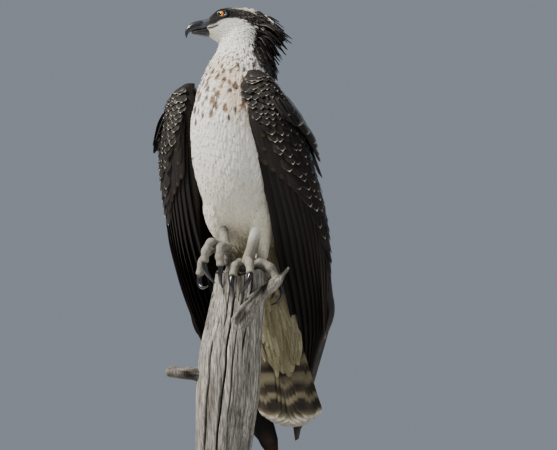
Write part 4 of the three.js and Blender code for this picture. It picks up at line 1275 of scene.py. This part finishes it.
# The two halves of the bill: ridge and edge, each towards the bill and in height, and half width
UPPER_BILL = [
    (37, 9, 31, -3.5, 9.5),
    (42, 6.6, 38, -5.8, 9),
    (47, 5.3, 44, -7.6, 8),
    (53, 4, 51, -9.2, 7),
    (59, 2.1, 57, -10.3, 6),
    (64.5, -1.3, 61, -11.2, 5),
    (68.2, -5.6, 63.7, -12, 3.9),
    (70, -10.6, 65.6, -13.4, 2.8),
    (70, -15.2, 66.9, -16.2, 1.7),
    (69, -18.6, 67.4, -18.8, 0.8),
]
LOWER_BILL = [
    (32, -4.5, 30, -14.5, 8),
    (40, -5.0, 40, -16.6, 7.6),
    (47, -6.8, 46.5, -15.9, 6.6),
    (54, -8.6, 53.5, -15, 5.2),
    (59.5, -10.2, 59, -14.2, 3.4),
]
NOSTRIL_AT = 47


def bill_half(rows, base, tip, look, name, node_name):
    """Half of the bill. Only the upper one has the bare grey base and the nostrils."""
    ridge_u, ridge_w, edge_u, edge_w, half = even(rows, 70)
    upper = rows is UPPER_BILL
    turn = ring(48)[None]
    rise = np.sin(turn)
    side = np.sign(np.cos(turn)) * np.abs(np.cos(turn)) ** 0.85
    u = spread((ridge_u + edge_u) / 2) + spread((ridge_u - edge_u) / 2) * rise
    w = spread((ridge_w + edge_w) / 2) + spread((ridge_w - edge_w) / 2) * rise
    grid = head_point(u, spread(half) * side, w)
    points, faces = loft(grid, head_point(base[0], 0, base[1]), head_point(tip[0], 0, tip[1]))
    u, v, w = head_place(points)
    past = u - NOSTRIL_AT
    slit = upper * np.exp(-((past / 2.9) ** 2) - (w - 0.2 - 0.35 * past) ** 2)
    points = points - CHEEKWARD * spread(np.sign(v) * 1.5 * slit * (np.abs(v) > 3))
    cere = (1 - ramp(u + 0.25 * w, 46.5, 50)) * upper
    tint = mix(HORN, CERE, spread(0.85 * cere))
    # Painted shade: the nostril slit is darkened.
    tint = mix(tint, HORN * 0.3, spread(slit))
    # Painted highlight: the top of each half is lighter, except on the cere.
    tint = mix(tint, HORN_SHINE, spread(0.5 * ramp(w, -1, 4) * (1 - cere)))
    return dress(new_mesh(name, points, faces, tint), look, "bill_horn", node_name)


# The way an eye looks
GAZE = (0.64, 0.76, -0.04)
CORNEA = 0.5
EYE_SUNK = 0.35


def make_eye(side, look):
    """An eyeball with a raised cornea, its colours in rings round the axis."""
    axis, one, two = head_way(GAZE, side)
    centre = eye_place(side)
    down = np.linspace(0.015, math.pi - 0.02, 90)[:, None]
    turn = ring(96)[None]
    radius = EYE_RADIUS - EYE_SUNK + CORNEA * np.exp(-((down / 0.42) ** 2))
    round_axis = spread(np.cos(turn)) * one + spread(np.sin(turn)) * two
    along_axis = spread(radius * np.cos(down) * np.ones_like(turn)) * axis
    grid = centre + along_axis + spread(radius * np.sin(down)) * round_axis
    poles = centre + axis * (EYE_RADIUS - EYE_SUNK + CORNEA), centre - axis * (EYE_RADIUS - EYE_SUNK)
    angle, around = (np.broadcast_to(a, grid.shape[:2]).ravel() for a in (down, turn))
    angle, around = np.append(angle, [0, math.pi]), np.append(around, [0, 0])
    spokes = 1 + 0.14 * np.sin(23 * around) * np.sin(9 * around + 1)
    iris = mix(IRIS_INNER, IRIS_OUTER, spread(ramp(angle, 0.36, 0.66))) * spread(spokes)
    tint = mix(mix(PUPIL, iris, spread(ramp(angle, 0.34, 0.37))), EYE_RIM, spread(ramp(angle, 0.64, 0.7)))
    name = SIDE_NAMES[side]
    return dress(new_mesh("eyeball_" + name, *loft(grid, *poles), tint), look, "eye", "eye_" + name)


# The ring of the lids and the corner of the mouth
LID_WIDE, LID_HIGH, LID_THICK = 5.7, 3.9, 1.7
GAPE = [(41, 8, -7.4), (34, 12.8, -6.6), (28, 16.6, -5)]
GAPE_RADII = [1.0, 1.5, 0.8]


def make_lids(look):
    """Dark bare rims round the eyes, and the corners of the mouth."""
    turn = ring(72)
    section = ring(14)[None]
    thick = LID_THICK + 0.1 * np.sin(9 * turn)[:, None]
    faces = [np.concatenate([strip_faces(72, 14, True), wrap_rows(72, 14)])]
    forms = []
    for side in SIDE_NAMES:
        axis, one, two = head_way(EYE_AXIS, side)
        centre = eye_place(side)
        rim = centre + 4.9 * axis + LID_WIDE * spread(np.cos(turn)) * one
        rim = rim + LID_HIGH * spread(np.sin(turn)) * two
        out = unit(rim - centre - 4.6 * axis)[:, None]
        grid = rim[:, None] + spread(thick * np.cos(section)) * out + spread(thick * np.sin(section)) * axis
        forms.append((grid.reshape(-1, 3), faces))
        gape = curve(head_point(*(np.array(GAPE) * [1, side, 1]).T), 14)
        forms.append(tube(gape, sizes(GAPE_RADII, 14), 10))
    points, faces = merged(forms)
    u, _, w = head_place(points)
    pale = ramp(EYE_AT[0] - u, 1, 5) * ramp(EYE_AT[2] - w, -2.5, 1.5) * (w > 0)
    return dress(new_mesh("lids", points, faces, mix(LID_DARK, LID_PALE, spread(pale))), look, "bill_horn")


# Legs and feet
SHANK_RADII = [8.6, 7.8, 7.2, 8]
PALM_RADII = [7.5, 9, 10, 10.4, 10.4, 10, 9, 7]


def make_leg(name, look, claw_look):
    """A bare shank with its foot, and a claw on each toe."""
    leg = LEGS[name]
    centre = body_point(*leg["foot"])
    palm = curve([centre + UP * 5, centre, centre - UP * 3.5], len(PALM_RADII))
    t = np.linspace(0, 1, 48)
    knots = 0.55 * np.cos(2 * math.pi * 3 * t) + 0.12 * np.cos(2 * math.pi * 15 * t)
    lines = [curve(at_body(toe), len(t)) for toe, _ in TOES[name]]
    forms = [tube(curve(at_body(leg["shank"]), 40), sizes(SHANK_RADII, 40), 28), tube(palm, PALM_RADII, 24)]
    forms += [tube(line, sizes(TOE_RADII, len(t)) - 0.4 + knots, 24) for line in lines]
    foot = fused("leg_" + name, forms, 0.9, 3)
    points = points_of(foot.data)
    patchy = Waves(5)(points)
    # Painted shade: the skin that faces down is darker. The dark patches are the skin's own.
    under = ramp(-vectors_of(foot.data, "normal")[:, 2], 0.2, 0.8)
    tint = mix(FOOT, FOOT_DARK, spread(np.clip(0.45 * under + 0.6 * ramp(patchy, 0, 2), 0, 1)))
    above = points[:, 2] - leg["foot"][2]
    paint(foot.data, mix(tint, WHITE * 0.9, spread(0.9 * ramp(above, 24, 50))))
    dress(foot, look, "foot_skin", "foot_" + name, "shank_" + name)
    for i, (line, (_, claw)) in enumerate(zip(lines, TOES[name])):
        path = curve(np.concatenate([line[-1:], at_body(claw)]), 40)
        nail = new_mesh(f"talon_{name}_{i + 1}", *tube(path, np.maximum(sizes(CLAW_RADII, 40), 0.25)), CLAW)
        dress(nail, claw_look, "claw_horn", f"claw_{name}_{i + 1}")


# The perch: height, middle and radius of the trunk
TRUNK = [
    (45, -16.5, 33.5),
    (60, -15.3, 34.5),
    (92, -13, 37),
    (124, -9.4, 39.4),
    (156, -6.3, 39.4),
    (188, -3.9, 39),
    (239, 4, 36),
    (272, 8.7, 34),
    (286, 9.3, 33),
]
TRUNK_LOW = TRUNK[0][0]
# Cracks: turn round the trunk in degrees, half width, depth, and the heights between which they run
CRACKS = [
    (-98, 0.026, 5.5, 45, 255),
    (-66, 0.03, 3.0, 170, 290),
    (-128, 0.03, 2.6, 45, 200),
    (-82, 0.022, 2.0, 90, 290),
    (-20, 0.04, 4, 60, 260),
    (60, 0.05, 5, 45, 290),
    (150, 0.04, 4, 90, 290),
    (-112, 0.02, 2.2, 200, 290),
]
FINE_CRACKS = 190
grain = Waves(1.1, (1, 1, 16), 60)
ripples = Waves(4, (1, 1, 10))
lumps = Waves(22, (1, 1, 3), 30)


def trunk_grid():
    """The side of the trunk up to its broken top, and how deep its cracks are."""
    turn = ring(420)[None]
    top = PERCH_TOP_Z - 1 + 4 * np.sin(2 * turn + 2.2) + 2.5 * np.sin(5 * turn)
    z = mix(TRUNK_LOW, top, np.linspace(0, 1, 300)[:, None])
    _, x, radius = along(TRUNK, z)

    def at(reach):
        return np.stack([x + reach * np.cos(turn), STAND_OVER[1] + reach * np.sin(turn), z], -1)

    ribs = 1.3 * np.sin(3 * turn + 0.02 * z) + 0.9 * np.sin(7 * turn - 0.013 * z + 1)
    fine = [
        (rng.uniform(-180, 180), rng.uniform(0.01, 0.018), rng.uniform(0.5, 1.5))
        + (low, low + rng.uniform(20, 110))
        for low in rng.uniform(30, 270, FINE_CRACKS)
    ]
    deep = np.zeros_like(z)
    for angle, wide, depth, low, high in CRACKS + fine:
        drift = math.radians(angle) + 0.02 * np.sin(z / 31 + angle) + 0.012 * np.sin(z / 9 + angle)
        off = np.arctan2(np.sin(turn - drift), np.cos(turn - drift))
        open_here = ramp(z, low, low + 25) * (1 - ramp(z, high - 16, high + 12))
        deep = np.maximum(deep, depth * np.exp(-((off / wide) ** 2)) * open_here)
    base = at(radius)
    relief = 0.22 * grain(base) + 0.35 * ripples(base) + 0.5 * lumps(base)
    return at(radius + ribs - deep + relief), deep


def wood_tint(points, deep):
    streak = 0.5 + 0.5 * np.tanh(ripples(points)) * 0.9
    fine = 0.5 + 0.5 * np.tanh(1.2 * grain(points))
    tint = mix(WOOD, WOOD_PALE, spread(0.7 * fine))
    tint = mix(tint, WOOD_DARK, spread(0.5 * (1 - streak)))
    tint = mix(tint, WOOD_DARK * 0.6, spread(0.45 * ramp(-grain(points), 0.9, 1.6)))
    # Painted shade: the cracks darken with their depth.
    return mix(tint, WOOD_DARK * 0.3, spread(np.clip(deep / 2.2, 0, 1)))


def make_perch(look):
    grid, deep = trunk_grid()
    centre = np.array([TRUNK[-1][1], STAND_OVER[1], PERCH_TOP_Z - 1])
    inner = np.linspace(0.97, 0.04, 40)[:, None, None]
    splinter = Waves(3.0)
    top = centre + inner * (grid[-1][None] - centre)
    rough = 1.3 * splinter(top) * np.minimum(1, (1 - inner[..., 0]) * 6)
    top[..., 2] += np.clip(rough, -2.5, 2.2)
    low_centre = np.array([TRUNK[0][1], STAND_OVER[1], TRUNK_LOW])
    points, faces = loft(np.concatenate([grid, top]), low_centre, centre)
    # The broken top is darkened as a shallow crack is.
    tint = wood_tint(points, np.concatenate([deep.ravel(), np.full(top.size // 3, 0.6), [0, 0]]))
    return dress(new_mesh("trunk", points, faces, tint), look, "dead_wood", "perch_trunk")


def make_branch(name, places, radii, look, *nodes):
    """A broken branch with grain along it and a ragged end."""
    line = curve(places, 90)
    points, faces = tube(line, sizes(radii, 90), 56)
    run = unit(np.asarray(places[-1], float) - np.asarray(places[0], float))
    flow = points - spread(points @ run * 0.9) * run
    nearest = line[np.argmin(((points[:, None] - line[None]) ** 2).sum(-1), 1)]
    relief = 0.45 * Waves(1.4, count=60)(flow) + 0.7 * Waves(4)(flow) + 0.8 * Waves(9)(points)
    moved = points + unit(points - nearest) * spread(relief)
    # Painted shade and highlight: hollows of the wood are darker and its knobs lighter.
    tint = mix(wood_tint(flow, np.maximum(0, -relief * 1.3)), BARK, 0.55) * spread(1 + 0.45 * np.tanh(relief))
    return dress(new_mesh(name, moved, faces, tint), look, "dead_wood", *nodes)


# The broken branches: places and radii along each, and the solid each one stands for
BRANCHES = {
    "spur": ([(-2, -26, 274), (-4, -27, 290), (-6, -26, 303)], [11, 8, 3.2], []),
    "branch": (
        [(0, -30, 200), (9, -42, 221), (20, -47, 241), (35, -51, 257)]
        + [(48, -54, 267), (60, -57, 277), (69, -60, 289)],
        [8, 12.5, 11.5, 8.5, 8, 6, 2.6],
        ["perch_branch"],
    ),
    "stub": (
        [(-36, -16, 154), (-56, -18, 157), (-72, -20, 158), (-85, -22, 159)],
        [11, 8.5, 7, 5],
        ["perch_stub"],
    ),
}


# Display stand
def lathe(name, profile, centre, look, slot, node_name, sides=160):
    r, z = np.array(profile, float).T[:, :, None]
    turn = ring(sides)
    grid = np.stack(np.broadcast_arrays(centre[0] + r * np.cos(turn), centre[1] + r * np.sin(turn), z), -1)
    poles = [np.array([*centre, profile[end][1]]) for end in (0, -1)]
    return dress(new_mesh(name, *loft(grid, *poles)), look, slot, node_name)


def make_stand(paint_look, steel_look):
    low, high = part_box("stand_base")
    radius, thick = high[0] / MM, high[2] / MM
    corner = np.linspace(math.pi / 2, 0, 8)
    edge = [(radius - 3 + 3 * math.sin(a), thick - 3 + 3 * math.cos(a)) for a in corner]
    profile = [(radius - 1.5, 0), (radius - 0.4, 0.4), (radius, 1.5), *edge]
    profile += [(radius - 8, thick), (radius * 0.5, thick), (4, thick)]
    lathe("base_plate", profile, (0, 0), paint_look, "stand_paint", "stand_base")
    low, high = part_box("stand_rod")
    r = (high[0] - low[0]) / 2 / MM
    middle = ((high[0] + low[0]) / 2 / MM, (high[1] + low[1]) / 2 / MM)
    z0, z1 = low[2] / MM, high[2] / MM
    profile = [(r - 0.6, z0), (r, z0 + 0.6), (r, (z0 + z1) / 2), (r, z1 - 0.6), (r - 0.6, z1)]
    lathe("rod", profile, middle, steel_look, "stand_steel", "stand_rod", 64)


# The studio. Each light has its place, size, power and colour.
FLOOR_HALF = 6000
FLOOR_Z = -0.6
LIT = (0.0, 0.0, 0.4)
LIGHTS = {
    "key": ((-1.75, -0.85, 2.3), 0.5, 145, (1.0, 0.96, 0.9)),
    "fill": ((1.8, -1.8, 1.2), 1.6, 6, (0.9, 0.95, 1.0)),
    "rim": ((0.9, 1.9, 1.8), 1.0, 10, (1.0, 1.0, 1.0)),
}


def aimed(name, data, place, way):
    """Places a light or camera and turns it to look one way."""
    made = placed(name, data)
    made.location = place
    made.rotation_mode = "QUATERNION"
    made.rotation_quaternion = Vector(way).to_track_quat("-Z", "Y")
    return made


def make_studio():
    corners = [(x * FLOOR_HALF, y * FLOOR_HALF, FLOOR_Z) for x, y in ((-1, -1), (1, -1), (1, 1), (-1, 1))]
    floor = new_mesh("floor", np.array(corners), [[[0, 1, 2, 3]]])
    floor.data.materials.append(plain_material("floor_pale", rgb(214, 212, 208), 0.8, 3.0, 0.02))
    world = bpy.data.worlds.new("studio")
    world.use_nodes = True
    sky = world.node_tree.nodes["Background"]
    sky.inputs["Color"].default_value = (0.62, 0.70, 0.82, 1)
    sky.inputs["Strength"].default_value = 0.36
    bpy.context.scene.world = world
    for name, (place, size, power, color) in LIGHTS.items():
        lamp = bpy.data.lights.new(name, "AREA")
        lamp.size = size
        lamp.energy = power
        lamp.color = color
        aimed(name, lamp, place, Vector(LIT) - Vector(place))


# The camera looks up a little, as the photographer did
CAMERA_UP = math.radians(9)
CAMERA_AWAY = 2000.0
CAMERA_TARGET = np.array([56.5, -15.0, 350.0])
FOCAL_IN_PIXELS = 1538.0
PHOTO_WIDTH = 557.0
SENSOR_WIDTH = 36.0


def make_camera():
    data = bpy.data.cameras.new("camera")
    data.sensor_width = SENSOR_WIDTH
    data.lens = SENSOR_WIDTH * FOCAL_IN_PIXELS / PHOTO_WIDTH
    data.clip_start, data.clip_end = 0.1, 50
    forward = np.array([0, math.cos(CAMERA_UP), math.sin(CAMERA_UP)])
    bpy.context.scene.camera = aimed("camera", data, (CAMERA_TARGET - forward * CAMERA_AWAY) * MM, forward)


def build():
    coat_look = feather_material("plumage_coat", 60.0, 0.1, 0.85, 0.12)
    vane_look = feather_material("plumage_vanes", 90.0, 0.3, 0.6, 0.02)
    horn_look = skin_material("horn", 0.35, 900.0, 0.12, 0.08, Coat_Weight=0.3)
    claw_look = skin_material("claw_horn", 0.28, 1200.0, 0.1, 0.05, Coat_Weight=0.5)
    foot_look = skin_material("foot_scales", 0.7, 520.0, 0.22, 0.75)
    wood_look = wood_material()
    eye_look = eye_material()
    paint_look = plain_material("satin_black", rgb(38, 38, 40), 0.45, 60.0, 0.06)
    steel_look = plain_material("brushed_steel", rgb(150, 150, 152), 0.35, 90.0, 0.05, 1.0)

    dress(skin, coat_look, "pale_plumage", "torso", "neck", "head", "thigh_left", "thigh_right")
    make_coat(coat_look)
    paint_skin()
    for side, name in SIDE_NAMES.items():
        make_arm(side, vane_look)
        make_coverts(side, vane_look)
        make_flight_feathers(side, vane_look)
        make_hand_coverts(side, vane_look)
        make_shoulder(side, vane_look)
        make_eye(side, eye_look)
        make_leg(name, foot_look, claw_look)
    tail = make_tail(vane_look)
    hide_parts("tail")
    make_tail_coverts(vane_look)
    make_undertail(coat_look)
    make_crest(vane_look)
    make_lids(horn_look)
    bill_half(UPPER_BILL, (31, 2), (68.3, -20.2), horn_look, "upper_bill", "bill_upper")
    bill_half(LOWER_BILL, (29, -11), (62, -13.4), horn_look, "lower_bill", "bill_lower")
    make_perch(wood_look)
    for name, (places, radii, nodes) in BRANCHES.items():
        make_branch(name, places, radii, wood_look, *nodes)
    make_stand(paint_look, steel_look)
    make_studio()
    make_camera()


build()
